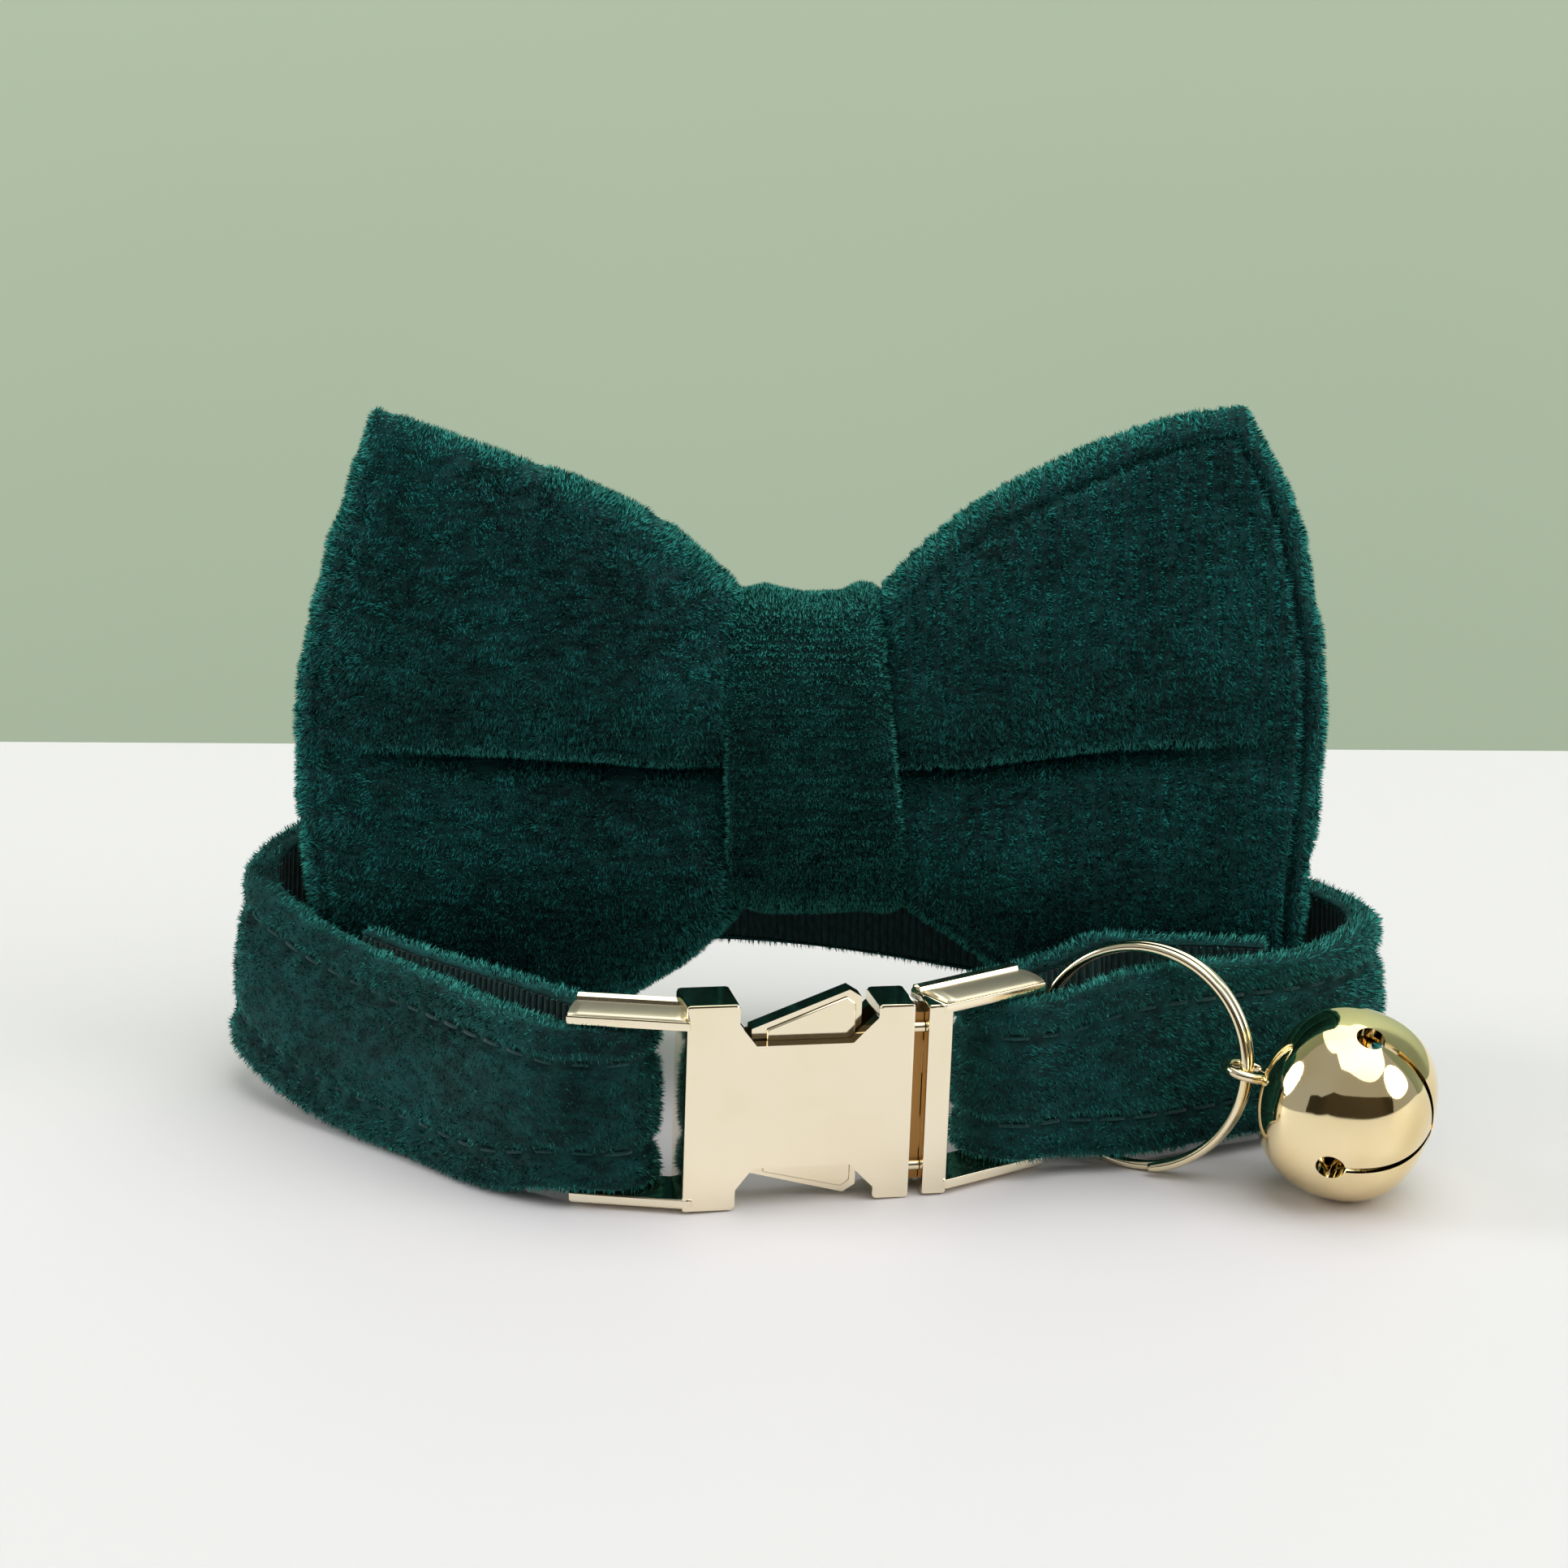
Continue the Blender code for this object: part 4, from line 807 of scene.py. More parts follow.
# Metal
def polish_node(node, name, width, key):
    """A cast piece from its CAD node: welded, flat faces made whole again, edges rounded over."""
    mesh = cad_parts[node].data.copy()
    mesh.name = name
    form = bmesh.new()
    form.from_mesh(mesh)
    bmesh.ops.remove_doubles(form, verts=form.verts, dist=2e-6)
    bmesh.ops.dissolve_limit(form, angle_limit=math.radians(1.0), verts=form.verts, edges=form.edges)
    bmesh.ops.recalc_face_normals(form, faces=form.faces)
    form.to_mesh(mesh)
    form.free()
    made = adopt(name, mesh, [node])
    soft = made.modifiers.new("Rounded edges", "BEVEL")
    soft.width = width
    soft.segments = 3
    soft.limit_method = "ANGLE"
    soft.angle_limit = math.radians(25.0)
    soft.use_clamp_overlap = True
    even_faces = made.modifiers.new("Flat faces stay flat", "WEIGHTED_NORMAL")
    even_faces.weight = 100
    even_faces.keep_sharp = True
    dress(made, key)


def swept_section(points, across, lift, wide, high, sides=20):
    """A rounded bar with an oval section along points; across and lift are the section's directions."""
    turn = np.linspace(0.0, 2 * math.pi, sides, endpoint=False)
    ring = (np.cos(turn)[:, None] * wide / 2 * np.asarray(across)
            + np.sin(turn)[:, None] * high / 2 * np.asarray(lift))
    rings = np.asarray(points, float)[:, None] + ring[None]
    faces = [tuple(face) for face in grid_faces(len(points), sides, False, True)]
    faces += cap_ends(len(points), sides)
    return rings.reshape(-1, 3), faces


def make_buckle_trim():
    """What the castings have beside their main shapes: a raised land on each arm beside its ridge,
    a framed face on each release prong, and the plug's root with two pins, seen in the gap."""
    yaw = Matrix.Rotation(math.radians(BUCKLE_YAW), 4, "Z")
    tilt = Matrix.Rotation(math.radians(BUCKLE_ROLL), 4, "Y")
    arms = Matrix.Translation(Vector(MOVED) + Vector((0.0, 0.0, ARM_LEVEL))) @ yaw
    plates = Matrix.Translation(Vector(MOVED) + Vector((0.0, 0.0, BUCKLE_LEVEL))) @ yaw @ tilt

    lands = []
    for side in (-1, 1):
        bend = math.radians(ARM_BEND)
        start = 0.0 if side < 0 else BUCKLE_END
        way = np.array([side * math.cos(bend), math.sin(bend), 0.0])
        back = np.array([-side * way[1], side * way[0], 0.0])
        for up in (-1, 1):
            reach = np.linspace(-0.1 * MM, ARM_LENGTH - 0.15 * MM, 12)[:, None]
            line = np.array([start, 0.0, up * LAND_HEIGHT]) + way * reach + back * LAND_DEPTH
            lands.append(swept_section(line, back, (0.0, 0.0, up), LAND_WIDTH, LAND_RISE))
    points, faces = join_arrays(lands)
    made = add_piece("buckle_arm_lands", points, faces)
    made.data.transform(arms)
    outward(made.data)
    dress(made, "satin")

    form = bmesh.new()
    for up, top in ((1, WEDGE_TOP), (-1, WEDGE_BOTTOM)):
        outline = [(WEDGE_END - 0.55 * MM, 4.6 * MM), (WEDGE_END - 0.55 * MM, top - 1.2 * MM),
                   (WEDGE_END - 1.35 * MM, top - 0.6 * MM), (WEDGE_START + 1.3 * MM, 6.55 * MM),
                   (WEDGE_START + 1.3 * MM, 4.6 * MM)]
        ring = [form.verts.new((u, PRONG_FRONT - 0.28 * MM, up * w)) for u, w in outline]
        rear = [form.verts.new((u, PRONG_FRONT + 0.2 * MM, up * w)) for u, w in outline]
        form.faces.new(ring)
        form.faces.new(rear[::-1])
        for i in range(len(ring)):
            form.faces.new((ring[i - 1], ring[i], rear[i], rear[i - 1]))
    bmesh.ops.recalc_face_normals(form, faces=form.faces)
    mesh = bpy.data.meshes.new("prong_faces")
    form.to_mesh(mesh)
    form.free()
    mesh.transform(plates)
    made = adopt("prong_faces", mesh, (), 30.0)
    soft = made.modifiers.new("Rounded edges", "BEVEL")
    soft.width = 0.12 * MM
    soft.segments = 2
    dress(made, "buckle")

    form = bmesh.new()
    bmesh.ops.create_cube(form, size=1.0)
    for vertex in form.verts:
        vertex.co = Vector(((GAP_START + GAP_END) / 2 + vertex.co.x * (GAP_END - GAP_START - 0.12 * MM),
                            3.0 * MM + vertex.co.y * 3.0 * MM, vertex.co.z * 15.4 * MM))
    mesh = bpy.data.meshes.new("plug_root")
    form.to_mesh(mesh)
    form.free()
    mesh.transform(plates)
    # The plug's root takes the gold darkened with painted shade.
    dress(adopt("plug_root", mesh, (), 30.0), "inner")
    pins = []
    for up in (-1, 1):
        line = [(u, 1.35 * MM, up * 6.4 * MM) for u in (GAP_START + 0.06 * MM, GAP_END - 0.06 * MM)]
        pins.append(swept_section(line, (0.0, 1.0, 0.0), (0.0, 0.0, 1.0), 1.0 * MM, 1.0 * MM))
    points, faces = join_arrays(pins)
    made = add_piece("plug_pins", points, faces, (), 40.0)
    made.data.transform(plates)
    outward(made.data)
    dress(made, "wire")


def ring_place():
    """The ring's centre and its across, up and facing directions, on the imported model."""
    outer = smooth_curve(outer_layer(), PATH_STEP)
    near = cut_at(outer, RING_ALONG, from_end=True)
    heading = unit(near[-1, :2] - near[-2, :2])
    spot = near[-1, :2] - turned(heading) * RING_FORWARD
    yaw = math.radians(RING_YAW)
    lean = math.radians(RING_LEAN)
    across = np.array([math.cos(yaw), math.sin(yaw), 0.0])
    back = np.array([-math.sin(yaw), math.cos(yaw), 0.0])
    up = back * math.sin(lean) + np.array([0.0, 0.0, math.cos(lean)])
    facing = np.cross(up, across)
    coils = RING_PITCH * RING_TURNS / 2
    reach = RING_OUTER / 2 * math.cos(lean) + coils * math.sin(lean)
    return np.array([spot[0], spot[1], reach]) + MOVED, across, up, facing


def make_ring():
    """Split ring: two coils with cut ends that are pressed a little flat."""
    centre, across, up, facing = ring_place()
    radius = (RING_OUTER - RING_WIRE) / 2
    steps = 360
    share = np.linspace(0.0, 1.0, steps + 1)
    angle = share * 2 * math.pi * RING_TURNS - math.radians(80.0)
    offset = (share - 0.5) * RING_PITCH * RING_TURNS
    points = (centre + radius * np.cos(angle)[:, None] * across + radius * np.sin(angle)[:, None] * up
              + offset[:, None] * facing)
    end = np.minimum(share, 1 - share) * steps
    thick = RING_WIRE / 2 * (1.14 - 0.2 * np.exp(-(end / 2.0) ** 2))
    dress(tube("split_ring_wire", points, thick, 16, ["split_ring"]), "wire")


def bell_place():
    """The bell's middle, its axis and the middle of its shank loop."""
    centre, across, up, _ = ring_place()
    grip = centre + across * (RING_OUTER - RING_WIRE) / 2
    yaw = math.radians(BELL_YAW)
    run = BELL_HALF + SHANK_REACH
    drop = grip[2] - BELL_RADIUS
    level = math.sqrt(run ** 2 - drop ** 2)
    axis = np.array([math.cos(yaw) * level, math.sin(yaw) * level, -drop]) / run
    return grip + axis * run, axis, grip, up


def cut_with(base, tools):
    """Cut tools from a piece and keep the result as its mesh."""
    for tool in tools:
        change = base.modifiers.new(tool.name, "BOOLEAN")
        change.operation = "DIFFERENCE"
        change.solver = "EXACT"
        change.object = tool
    bpy.context.view_layer.update()
    graph = bpy.context.evaluated_depsgraph_get()
    mesh = bpy.data.meshes.new_from_object(base.evaluated_get(graph))
    base.modifiers.clear()
    base.data = mesh
    for tool in tools:
        bpy.data.objects.remove(tool, do_unlink=True)


def make_bell():
    """A pressed shell with an outer and an inner wall and a seam round its middle, its front cut into four
    petals whose slots end in round holes, slightly pinched between them."""
    middle, axis, grip, up = bell_place()
    rows = 57
    columns = 96
    polar = np.linspace(0.0, math.pi, rows)[:, None]
    round_angle = np.linspace(0.0, 2 * math.pi, columns, endpoint=False)[None, :]

    def cup(radius, half):
        out_r = radius * np.sin(polar)
        return np.stack([out_r * np.cos(round_angle), out_r * np.sin(round_angle),
                         half * np.cos(polar) + 0 * round_angle], axis=-1)

    def pressed(points):
        """The shell as it comes off the press: square at its shoulders, pinched beside the slots,
        with a seam round its middle and a few knocks."""
        x, y, z = points.T
        tilt = np.arctan2(np.hypot(x, y) / BELL_RADIUS, z / BELL_HALF)
        round_at = np.arctan2(y, x)
        bulge = 1.0 + 0.05 * np.sin(2 * tilt) ** 2
        pinch = 0.085 * np.clip(np.cos(tilt), 0.0, 1.0) ** 1.5
        pinch = pinch * np.maximum(np.cos(4 * (round_at - math.radians(SLOT_TURN))), 0.0) ** 3
        seam = 0.008 * np.exp(-((tilt - math.radians(96)) / 0.05) ** 2)
        knock = 0.026 * ripple(3.0 * x / BELL_RADIUS + 1.5 * y / BELL_RADIUS, 3.4 * z / BELL_RADIUS
                               - 2.4 * y / BELL_RADIUS, 17)
        across = bulge * (1.0 - pinch + seam + knock)
        return np.stack([x * across, y * across, z * bulge], axis=-1)

    turn = Vector(axis).to_track_quat("Z", "X").to_matrix().to_4x4()
    faces = [tuple(face) for face in grid_faces(rows, columns, False, True)]
    both = bmesh.new()
    for size, inward in ((0.985, False), (0.985 - BELL_WALL / BELL_RADIUS, True)):
        mesh = bpy.data.meshes.new("cup")
        mesh.from_pydata(cup(BELL_RADIUS * size, BELL_HALF * size).reshape(-1, 3).tolist(), [], faces)
        outward(mesh)
        if inward:
            mesh.flip_normals()
        both.from_mesh(mesh)
        bpy.data.meshes.remove(mesh)
    shell = bpy.data.meshes.new("bell_shell")
    both.to_mesh(shell)
    both.free()
    made = adopt("bell_shell", shell, ["bell"])
    tools = []
    for quarter in range(2):
        for size, kind in ((0.62 * MM, "slot"), (1.25 * MM, "hole")):
            form = bmesh.new()
            if kind == "slot":
                bmesh.ops.create_cube(form, size=1.0)
                for vertex in form.verts:
                    vertex.co = Vector((vertex.co.x * 2.4 * BELL_RADIUS, vertex.co.y * size,
                                        0.9 * MM + (vertex.co.z + 0.5) * 1.2 * BELL_HALF))
            else:
                bmesh.ops.create_cone(form, cap_ends=True, segments=28, radius1=size, radius2=size,
                                      depth=2.4 * BELL_RADIUS)
                bmesh.ops.rotate(form, verts=form.verts, cent=(0, 0, 0),
                                 matrix=Matrix.Rotation(math.pi / 2, 3, "Y"))
                bmesh.ops.translate(form, verts=form.verts, vec=(0.0, 0.0, 0.9 * MM))
            bmesh.ops.rotate(form, verts=form.verts, cent=(0, 0, 0),
                             matrix=Matrix.Rotation(math.radians(SLOT_TURN + 90.0 * quarter), 3, "Z"))
            mesh = bpy.data.meshes.new(kind)
            form.to_mesh(mesh)
            form.free()
            tool = bpy.data.objects.new(kind, mesh)
            bpy.context.scene.collection.objects.link(tool)
            tools.append(tool)
    cut_with(made, tools)
    places = np.empty(len(made.data.vertices) * 3)
    made.data.vertices.foreach_get("co", places)
    made.data.vertices.foreach_set("co", pressed(places.reshape(-1, 3)).ravel())
    made.data.transform(Matrix.Translation(Vector(middle)) @ turn)
    made.data.shade_smooth()
    made.data.set_sharp_from_angle(angle=math.radians(40))
    dress(made, "bell")

    outward_axis = Vector(axis)
    sideways = Vector(up).cross(outward_axis).normalized()
    angle = np.linspace(0.0, 2 * math.pi, 64, endpoint=False)
    loop = np.array([Vector(grip) + SHANK_RADIUS * (math.cos(a) * outward_axis + math.sin(a) * sideways)
                     for a in angle])
    dress(tube("bell_shank", loop, SHANK_WIRE / 2, 14, (), True), "wire")

    low, high = (np.array(corner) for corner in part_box("bell_pellet"))
    ball = bpy.data.meshes.new("bell_ball")
    form = bmesh.new()
    bmesh.ops.create_icosphere(form, subdivisions=4, radius=float((high - low).min()) / 2)
    bmesh.ops.translate(form, verts=form.verts, vec=Vector((low + high) / 2))
    form.to_mesh(ball)
    form.free()
    dress(adopt("bell_ball", ball, ["bell_pellet"]), "wire")


# Bow
KNOT_WIDTH = 16.6 * MM
KNOT_WALL = 1.65 * MM
KNOT_HALF_HEIGHT = 13.25 * MM
KNOT_HALF_DEPTH = 7.0 * MM
BOW_DEPTH = 10.5
WING_EDGE = 1.5
SEAM_BAND = 2.1
RIB_OF_BOW = 1.3
WING_REACH = 47.3
SWEEP_LEFT = 1.2
SWEEP_RIGHT = 4.5

# How far the front and the back of a wing stand out, as a share of BOW_DEPTH, at shares of its reach
WingDepth = namedtuple("WingDepth", "reach front back")
WING_DEPTHS = [WingDepth(0.06, 0.36, 0.36), WingDepth(0.135, 0.56, 0.50), WingDepth(0.175, 0.78, 0.54),
               WingDepth(0.23, 0.90, 0.55), WingDepth(0.30, 0.97, 0.54), WingDepth(0.40, 0.98, 0.50),
               WingDepth(0.52, 0.92, 0.46), WingDepth(0.68, 0.76, 0.40), WingDepth(0.84, 0.52, 0.32),
               WingDepth(0.95, 0.28, 0.22), WingDepth(1.00, 0.16, 0.16)]


def wing_patch(upper, lower, outer, crease, columns, rows):
    """A wing's front view, in mm: a Coons patch between its upper, lower and outer edges and the
    knot. Columns run outward, rows from the bottom (t = -1) over the crease (t = 0) to the top."""
    def eased(count):
        return (1 - np.cos(np.linspace(0.0, math.pi, count))) / 2

    share = eased(columns)
    half = eased(rows)
    t = np.concatenate([-half[::-1], half[1:]])[None, :]

    def edge(table, at):
        line = along_line(table, 400)
        return np.stack([np.interp(at, np.linspace(0, 1, 400), column) for column in line.T], axis=-1)

    top = edge(upper, share)[:, None]
    bottom = edge(lower, share)[:, None]
    at_crease = np.interp(share, [0.0, 0.3, 0.6, 1.0], crease)
    middle = ((at_crease - bottom[:, 0, 1]) / (top[:, 0, 1] - bottom[:, 0, 1]))[:, None]
    v = np.where(t > 0, middle + t * (1 - middle), middle + t * middle)
    s = share[:, None]
    knot_side = bottom[:1] * (1 - v)[..., None] + top[:1] * v[..., None]
    far_side = edge(outer, v)
    corners = ((1 - s) * (1 - v))[..., None] * bottom[0, 0] + (s * (1 - v))[..., None] * bottom[-1, 0] \
        + ((1 - s) * v)[..., None] * top[0, 0] + (s * v)[..., None] * top[-1, 0]
    front_view = ((1 - v)[..., None] * bottom + v[..., None] * top + (1 - s)[..., None] * knot_side
                  + s[..., None] * far_side - corners)
    return front_view, s + 0 * v, t + 0 * v


def make_wing(name, side, replaced):
    """One padded wing: a front sheet with two rolls that meet in a deep crease, a plain back sheet, and
    a pressed seam all round. Depth = edge + (depth table - edge) x bulge x (1 - crease)."""
    upper, lower, outer = ((LEFT_UPPER, LEFT_LOWER, LEFT_OUTER) if side < 0
                           else (RIGHT_UPPER, RIGHT_LOWER, RIGHT_OUTER))
    upper = [(3.2, 10.2)] + upper
    lower = [(3.2, -10.2)] + lower
    crease = (-0.6, -0.8, 0.1, 1.0) if side < 0 else (-1.1, -0.7, 0.9, 2.0)
    place, s, t = wing_patch(upper, lower, outer, crease, 118, 78)
    x, z = place[..., 0], place[..., 1]
    columns, rows = x.shape
    reach = np.clip(x / WING_REACH, 0.0, 1.0)
    table = np.array(WING_DEPTHS)
    front_depth = np.interp(reach, table[:, 0], table[:, 1]) * BOW_DEPTH
    back_depth = np.interp(reach, table[:, 0], table[:, 2]) * BOW_DEPTH

    tall = np.where(t > 0, z[:, -1:] - z[:, rows // 2, None], z[:, rows // 2, None] - z[:, :1])
    from_side = (1 - np.abs(t)) * tall
    outer_reach = np.linalg.norm(place - place[-1:], axis=2)
    border = np.minimum(from_side, outer_reach)
    rounded = np.sqrt(np.maximum(0.0, 1 - (1 - np.clip(border / 1.5, 0.0, 1.0)) ** 2))
    closed = np.sqrt(np.maximum(0.0, 1 - (1 - np.clip(outer_reach / 3.5, 0.0, 1.0)) ** 2))
    bulge = (1 - np.abs(t) ** 2.6) ** 0.6 * closed
    slack = np.clip((1.02 - s) / 0.30, 0.0, 1.0) ** 0.7 * closed

    dent = ripple(x / 9.0 + side, z / 8.0, 31 + side) * 0.45 + ripple(x / 3.8, z / 3.8, 41 + side) * 0.14
    gather = np.exp(-np.maximum(x - 7.5, 0.0) / 5.5) * np.sin(z * 0.95 + side) * 0.3
    roll = np.where(t > 0, 0.24, 0.32)
    deep = np.exp(-(t / 0.05) ** 2) * 0.48 + np.exp(-(np.abs(t) / roll) ** 1.7) * 0.46
    lip = np.exp(-((t - 0.34) / 0.18) ** 2)
    front = (WING_EDGE * rounded + (front_depth - WING_EDGE) * bulge * (1 - slack * deep)
             + slack * lip * 0.8 + (dent + gather) * np.clip(border / 5.0, 0.0, 1.0))
    seam_line = np.exp(-((border - SEAM_BAND) / 0.42) ** 2)
    press = 0.75 if side > 0 else 0.15
    front = front - press * seam_line * np.clip(reach * 1.6, 0.0, 1.0)
    fallen = -slack * 0.55 * np.exp(-((t - 0.06) / 0.07) ** 2)
    back = (WING_EDGE * rounded + (back_depth - WING_EDGE) * bulge
            + ripple(x / 9.0, z / 8.0, 51 + side) * 0.3 * np.clip(border / 5.0, 0.0, 1.0) - 0.3 * seam_line)

    sweep = (SWEEP_LEFT if side < 0 else SWEEP_RIGHT) * reach ** 2
    scallop = 0.16 * ripple(z / 1.6, x / 1.6, 61 + side) * np.exp(-border / 1.2)
    wide = side * (x + scallop)
    front_points = np.stack([wide, -sweep - np.maximum(front, 0.0), z + fallen + scallop], axis=-1)
    back_points = np.stack([wide, -sweep + np.maximum(back, 0.0), z + scallop], axis=-1)
    points = np.vstack([front_points.reshape(-1, 3), back_points.reshape(-1, 3)]) * MM + BOW_MIDDLE + MOVED
    sheet = grid_faces(columns, rows)
    faces = [tuple(face) for face in sheet] + [tuple(face[::-1] + columns * rows) for face in sheet]
    faces.append(tuple(range(rows)) + tuple(range(columns * rows + rows - 2, columns * rows, -1)))
    made = add_piece(name + "_cover", points, faces, replaced)
    outward(made.data)
    dress(made, "wing base")

    centre = BOW_MIDDLE + MOVED
    rim_points = np.vstack([along_line(upper[1:], 60), along_line(outer, 60), along_line(lower[1:], 60)])

    def front_more(where, facing):
        """More blades on the front than on the back."""
        return np.where(facing[:, 1] < 0.3, 1.0, 0.42)

    def rim(where):
        """Distance in mm from the seam all round."""
        flat = np.stack([(where[:, 0] - centre[0]) * side, where[:, 2] - centre[2]], axis=1) / MM
        away = np.empty(len(flat))
        for start in range(0, len(flat), 8000):
            part = flat[start:start + 8000]
            away[start:start + 8000] = np.linalg.norm(part[:, None] - rim_points[None], axis=2).min(axis=1)
        return away

    def nap(where, facing):
        """Left: short dashes. Right: upright ribs of loops. Both brushed down."""
        across = (where[:, 0] - centre[0]) / MM
        high = (where[:, 2] - centre[2]) / MM
        if side > 0:
            wander = 0.35 * ripple(across / 4.0, high / 6.0, 71)
            rib = np.sin(2 * math.pi * (across / RIB_OF_BOW + wander))
            loop = ripple(across / 0.6, high / 0.55, 72)
            return np.column_stack([0.9 * rib + 0.3 * loop, 0 * rib, -0.32 + 0.6 * loop])
        dash = ripple(across / 0.95, high / 0.42, 73)
        other = ripple(across / 0.7, high / 0.5, 74)
        return np.column_stack([0.5 * other, 0 * dash, -0.30 + 0.9 * dash])

    def painted_light_and_grain(where, facing):
        """Painted light along the seam, where the pile stands out against the light, and on faces turned
        up; painted shade in the pressed line inside it, between the rolls of the front and on the
        right wing's lower corner; and the nap's pattern."""
        from_seam = rim(where)
        across = (where[:, 0] - centre[0]) * side / MM
        above = (where[:, 2] - centre[2]) / MM - np.interp(across, [4.0, 15.0, 28.0, 44.0], crease)
        front_side = facing[:, 1] < 0.2
        # Painted shade in the crease between the rolls and broadly above it.
        fold = 1.5 * np.exp(-((above + 0.2) / 1.8) ** 2)
        fold = fold + 0.6 * np.exp(-(above / 7.0) ** 2) * (above > 0)
        fold = fold * front_side * np.clip((43.0 - across) / 14.0, 0.0, 1.0)
        if side > 0:
            # Painted shade on the right wing's lower corner.
            painted_corner_shade = np.clip(-above / 12.0, 0.0, 1.0) * np.clip((across - 12.0) / 14.0, 0.0, 1.0)
            fold = fold + 0.8 * front_side * painted_corner_shade
        # Painted shade in the pressed seam line.
        line = (1.3 if side > 0 else 0.15) * np.exp(-((from_seam - SEAM_BAND) / 0.4) ** 2)
        brushed = nap(where, facing)
        grain = 0.35 * brushed[:, 2] + (0.42 * brushed[:, 0] if side > 0 else 0.0)
        # Painted highlight along the seam edge.
        edge = 2.6 * np.exp(-(from_seam / 0.6) ** 2)
        # Painted light on faces turned up, with the nap's pattern as grain.
        return 0.5 * np.maximum(facing[:, 2], 0.0) + edge - line - 0.9 * fold + grain

    pile = grow_pile(name + "_pile", made, WING_BLADES, 0.55 * MM, nap, front_more, 81 + side, 0.20, painted_light_and_grain)
    dress(pile, "wing pile")


def make_knot():
    """The band round the bow's middle: flat rows carried round a tall rounded loop, with soft gathers
    along it and a dip in its top."""
    stations = 230
    across = 52
    angle = np.linspace(0.0, 2 * math.pi, stations, endpoint=False)
    power = np.where(angle < math.pi, 0.98, 0.76)
    cy = np.sign(np.cos(angle)) * np.abs(np.cos(angle)) ** power
    cz = np.sign(np.sin(angle)) * np.abs(np.sin(angle)) ** power
    turn = np.linspace(0.0, 2 * math.pi, across, endpoint=False)[None, :]
    side_way = np.sign(np.cos(turn)) * np.abs(np.cos(turn)) ** 0.30 / 2
    depth_way = 0.5 + np.sign(np.sin(turn)) * np.abs(np.sin(turn)) ** 0.55 / 2
    face = np.clip((depth_way - 0.5) * 2, 0.0, 1.0)
    gather = 0.13 * np.sin(side_way * 19.0 + 0.9 * np.sin(3 * angle[:, None]))
    gather = gather * (0.35 + 0.65 * np.abs(cz[:, None]))
    crown = 0.16 * (1 - (2 * side_way) ** 2)
    dip = 0.75 * np.maximum(cz[:, None], 0.0) ** 4 * np.exp(-((side_way - 0.12) / 0.15) ** 2)
    shoulder = 0.28 * np.maximum(cz[:, None], 0.0) ** 4 * np.exp(-((side_way - 0.36) / 0.10) ** 2)
    wander = 0.07 * ripple(side_way * 9, angle[:, None] * 9, 91)
    rise = KNOT_WALL * (depth_way + face * (gather + crown - dip + shoulder + wander))
    width = KNOT_WIDTH * (0.92 - 0.08 * cz)[:, None]
    shift = KNOT_WIDTH * 0.045 * (0.3 - cz)[:, None]
    edge = 0.12 * MM * ripple(angle[:, None] * 26, side_way * 3, 92)
    points = np.stack([side_way * width + shift + edge * np.sign(side_way),
                       (KNOT_HALF_DEPTH + rise) * cy[:, None],
                       (KNOT_HALF_HEIGHT + rise) * cz[:, None]], axis=-1)
    points = points.reshape(-1, 3) + BOW_MIDDLE + MOVED
    faces = grid_faces(stations, across, True, True)
    made = add_piece("knot_cover", points, faces, ["knot_band"])
    outward(made.data)
    dress(made, "wing base")
    centre = BOW_MIDDLE + MOVED

    def outside(where, facing):
        """Only where the band faces away from the wings."""
        high = (where[:, 2] - centre[2]) / KNOT_HALF_HEIGHT
        deep = (where[:, 1] - centre[1]) / KNOT_HALF_DEPTH
        return np.where(facing[:, 2] * high + facing[:, 1] * deep > -0.15, 1.0, 0.0)

    def nap(where, facing):
        """Rows of loops across the band."""
        run = where[:, 2] - centre[2] + (where[:, 1] - centre[1])
        wander = 0.8 * ripple(where[:, 0] / (3 * MM), run / (3 * MM), 93)
        rib = np.sin(2 * math.pi * run / (1.15 * MM) + wander)
        loop = ripple(where[:, 0] / (0.55 * MM), run / (0.6 * MM), 94)
        return np.column_stack([0.3 * loop, 0 * rib, 0.5 * rib - 0.2])

    def rows_and_painted_top_light(where, facing):
        """Painted light on the top roll, lighter where the band faces up, with the rows of loops."""
        return 0.6 * nap(where, facing)[:, 2] + 4.2 * np.maximum(facing[:, 2], 0.0)

    pile = grow_pile("knot_pile", made, KNOT_BLADES, 0.48 * MM, nap, outside, 95, 0.20, rows_and_painted_top_light)
    dress(pile, "knot pile")


# Elastic bands
ELASTIC_WIDTH = 6.0 * MM
ELASTIC_THICK = 0.9 * MM
ELASTIC_TOP = 31.0 * MM
ELASTIC_CORNER = 0.9 * MM


def rounded_path(corners, radius, steps):
    """A closed path through corners (y, z), each rounded, as points and outward directions."""
    points = []
    ways = []
    for i, corner in enumerate(corners):
        before = unit(np.subtract(corners[i - 1], corner))
        after = unit(np.subtract(corners[(i + 1) % len(corners)], corner))
        middle = unit(before + after)
        half = math.acos(float(np.clip(before @ after, -1.0, 1.0))) / 2
        centre = np.asarray(corner) + middle * radius / math.sin(half)
        start = -turned(before)
        start = start if start @ middle < 0 else -start
        end = turned(after)
        end = end if end @ middle < 0 else -end
        for share in np.linspace(0.0, 1.0, steps):
            way = unit(start * (1 - share) + end * share)
            points.append(centre + way * radius)
            ways.append(way)
    return np.array(points), np.array(ways)


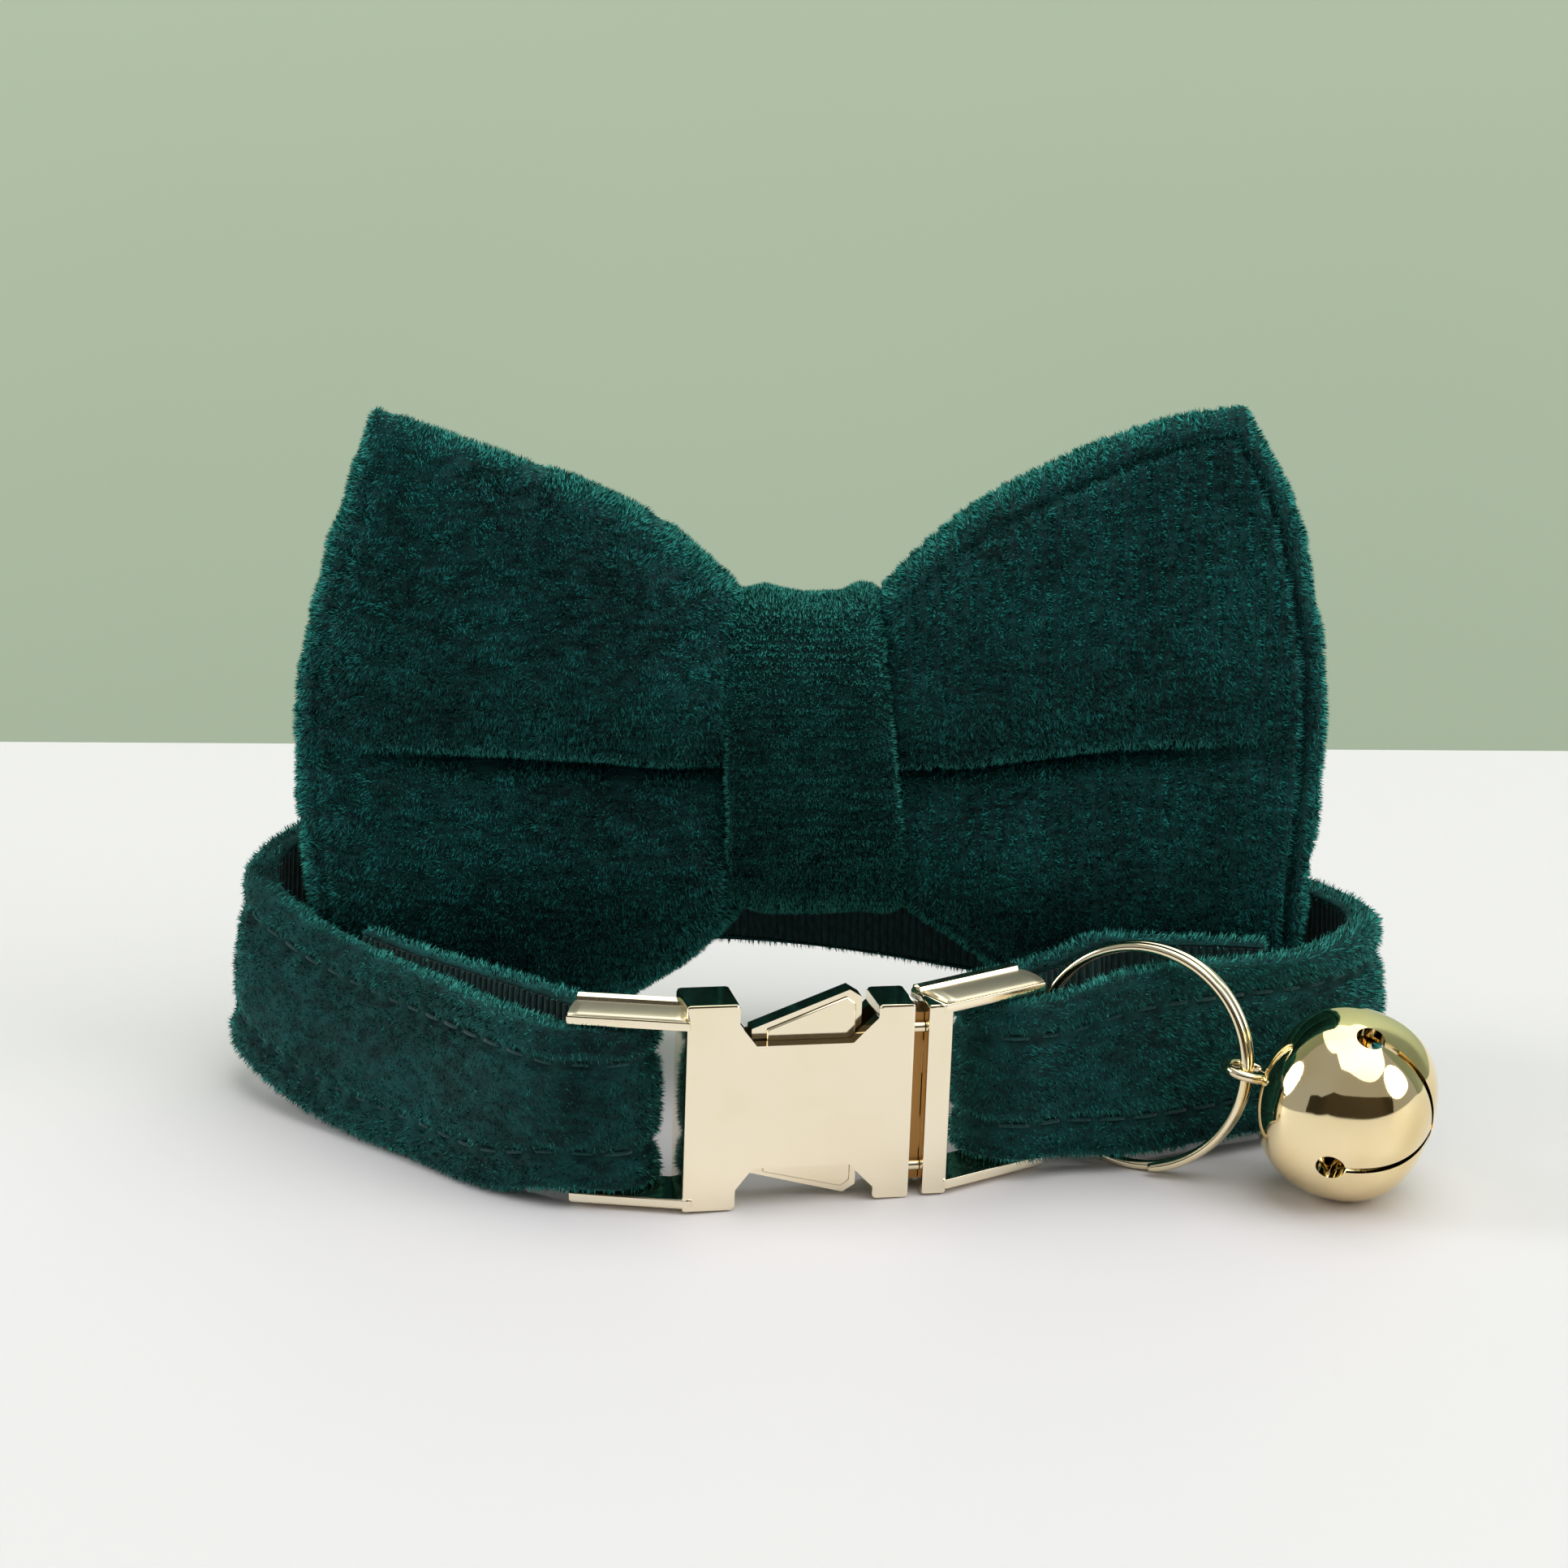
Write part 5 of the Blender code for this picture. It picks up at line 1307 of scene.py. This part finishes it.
def make_elastic(name, side, spread):
    """A woven band that holds the strap to a wing's back: rounded section with fine ribs along it."""
    x = BOW_MIDDLE[0] + side * spread
    rows = smooth_curve(outer_layer(), PATH_STEP)
    rows = rows[rows[:, 1] > 0.8 * STRAP_DEPTH]
    rows = rows[np.argsort(rows[:, 0])]
    depth = np.interp(x, rows[:, 0], rows[:, 1])
    low = np.interp(x, rows[:, 0], rows[:, 2])
    reach = spread / (WING_REACH * MM)
    swept = (SWEEP_LEFT if side < 0 else SWEEP_RIGHT) * MM * reach ** 2
    table = np.array(WING_DEPTHS)
    back = np.interp(reach, table[:, 0], table[:, 2]) * BOW_DEPTH * MM
    near = BOW_MIDDLE[1] - swept + back + 0.6 * MM + ELASTIC_THICK / 2
    away = THICK / 2 + 0.3 * MM + ELASTIC_THICK / 2 + 0.6 * MM
    bottom = low - 0.3 * MM - ELASTIC_THICK / 2 - 0.6 * MM
    corners = [(depth + away, bottom), (depth + away, ELASTIC_TOP), (near, ELASTIC_TOP),
               (depth - away, bottom)]
    points, ways = rounded_path(corners, ELASTIC_CORNER, 8)
    turn = np.linspace(0.0, 2 * math.pi, 96, endpoint=False)
    across = np.sign(np.cos(turn)) * np.abs(np.cos(turn)) ** 0.25 / 2
    out = np.sign(np.sin(turn)) * np.abs(np.sin(turn)) ** 0.5 / 2
    rib = 0.07 * np.cos(across * 2 * math.pi * 9) * np.sign(out)
    rings = []
    for (y, z), (way_y, way_z) in zip(points, ways):
        grow = (out + rib - 0.05 * np.sign(out)) * ELASTIC_THICK
        rings.append(np.stack([x + across * ELASTIC_WIDTH, y + way_y * grow, z + way_z * grow], axis=-1))
    rings = np.array(rings) + MOVED
    faces = grid_faces(len(rings), 96, True, True)
    made = add_piece(name + "_band", rings.reshape(-1, 3), faces, [name])
    outward(made.data)
    dress(made, "elastic")


# Stage
TABLE_EDGE = 0.1283
EDGE_SLANT = 0.022
WALL_AWAY = 0.5
CAMERA_PLACE = (-0.002489, -0.358093, 0.134858)
CAMERA_TILT = 73.983
LENS = 94.6


def plain(name, tone, roughness):
    """Matt paint with a hardly visible broad unevenness."""
    made, shader, start = new_material(name)
    broad = start.noise(0.12, 1.0)
    darker = [c * 0.985 for c in tone[:3]] + [1.0]
    start.fill(shader.inputs["Base Color"], broad.step(0.2, 0.8).mix(tone, darker))
    shader.inputs["Roughness"].default_value = roughness
    shader.inputs["Specular IOR Level"].default_value = 0.15
    return made


def set_stage():
    """Pale table, a sage wall half a metre behind it, a dark card in front that only reflections see,
    and soft light from above and from both sides."""
    left = TABLE_EDGE + 3 * EDGE_SLANT
    right = TABLE_EDGE - 3 * EDGE_SLANT
    for name, corners, tone, roughness in (
            ("table", [(-3, -3, 0), (3, -3, 0), (3, right, 0), (-3, left, 0)], colour(235, 232, 235), 0.5),
            ("wall", [(-3, left + WALL_AWAY, -0.8), (3, right + WALL_AWAY, -0.8),
                      (3, right + WALL_AWAY, 3), (-3, left + WALL_AWAY, 3)], colour(202, 219, 192), 0.9),
            ("dark room", [(-1.2, -0.9, 0.02), (-1.2, -0.9, 0.5), (1.2, -0.9, 0.5), (1.2, -0.9, 0.02)],
             colour(70, 60, 48), 0.9)):
        mesh = bpy.data.meshes.new(name)
        mesh.from_pydata(corners, [], [(0, 1, 2, 3)])
        made = bpy.data.objects.new(name, mesh)
        bpy.context.scene.collection.objects.link(made)
        mesh.materials.append(plain(name, tone, roughness))
        for rays in ("camera", "diffuse", "shadow"):
            setattr(made, "visible_" + rays, name != "dark room")

    def lamp(name, place, target, size, power, tone):
        """An oval soft light that faces a target."""
        data = bpy.data.lights.new(name, "AREA")
        data.shape = "ELLIPSE"
        data.size, data.size_y = size
        data.energy = power
        data.color = tone
        made = bpy.data.objects.new(name, data)
        made.location = place
        made.rotation_euler = (Vector(target) - Vector(place)).to_track_quat("-Z", "Y").to_euler()
        bpy.context.scene.collection.objects.link(made)

    lamp("window above", (0.15, 0.03, 0.95), (0.0, 0.0, 0.0), (1.8, 0.9), 6.7, (1.0, 1.0, 0.985))
    lamp("right window", (0.85, -0.30, 0.55), (0.0, 0.0, 0.02), (0.8, 0.8), 3.6, (1.0, 1.0, 0.985))
    lamp("left edge", (-0.75, 0.05, 0.35), (0.0, 0.0, 0.03), (0.4, 0.5), 2.6, (1.0, 1.0, 0.98))

    world = bpy.data.worlds.new("studio")
    world.use_nodes = True
    sky = world.node_tree.nodes["Background"]
    sky.inputs["Color"].default_value = (0.86, 0.87, 0.85, 1.0)
    sky.inputs["Strength"].default_value = 0.42
    bpy.context.scene.world = world

    lens = bpy.data.cameras.new("camera")
    lens.lens = LENS
    lens.sensor_width = 36.0
    lens.clip_start = 0.01
    lens.clip_end = 20.0
    eye = bpy.data.objects.new("camera", lens)
    eye.location = CAMERA_PLACE
    eye.rotation_euler = (math.radians(CAMERA_TILT), 0.0, 0.0)
    bpy.context.scene.collection.objects.link(eye)
    bpy.context.scene.camera = eye
    bpy.context.scene.view_settings.view_transform = "Standard"


def main():
    """Every piece of the collar, then the stage."""
    make_materials()
    make_strap()
    polish_node("buckle_female", "buckle_socket", 0.28 * MM, "buckle")
    polish_node("buckle_male", "buckle_plug", 0.22 * MM, "buckle")
    make_buckle_trim()
    make_ring()
    make_bell()
    make_wing("left_wing", -1, ["bow_wings"])
    make_wing("right_wing", 1, [])
    make_knot()
    make_elastic("elastic_left", -1, 16.0 * MM)
    make_elastic("elastic_right", 1, 25.0 * MM)
    set_stage()


main()
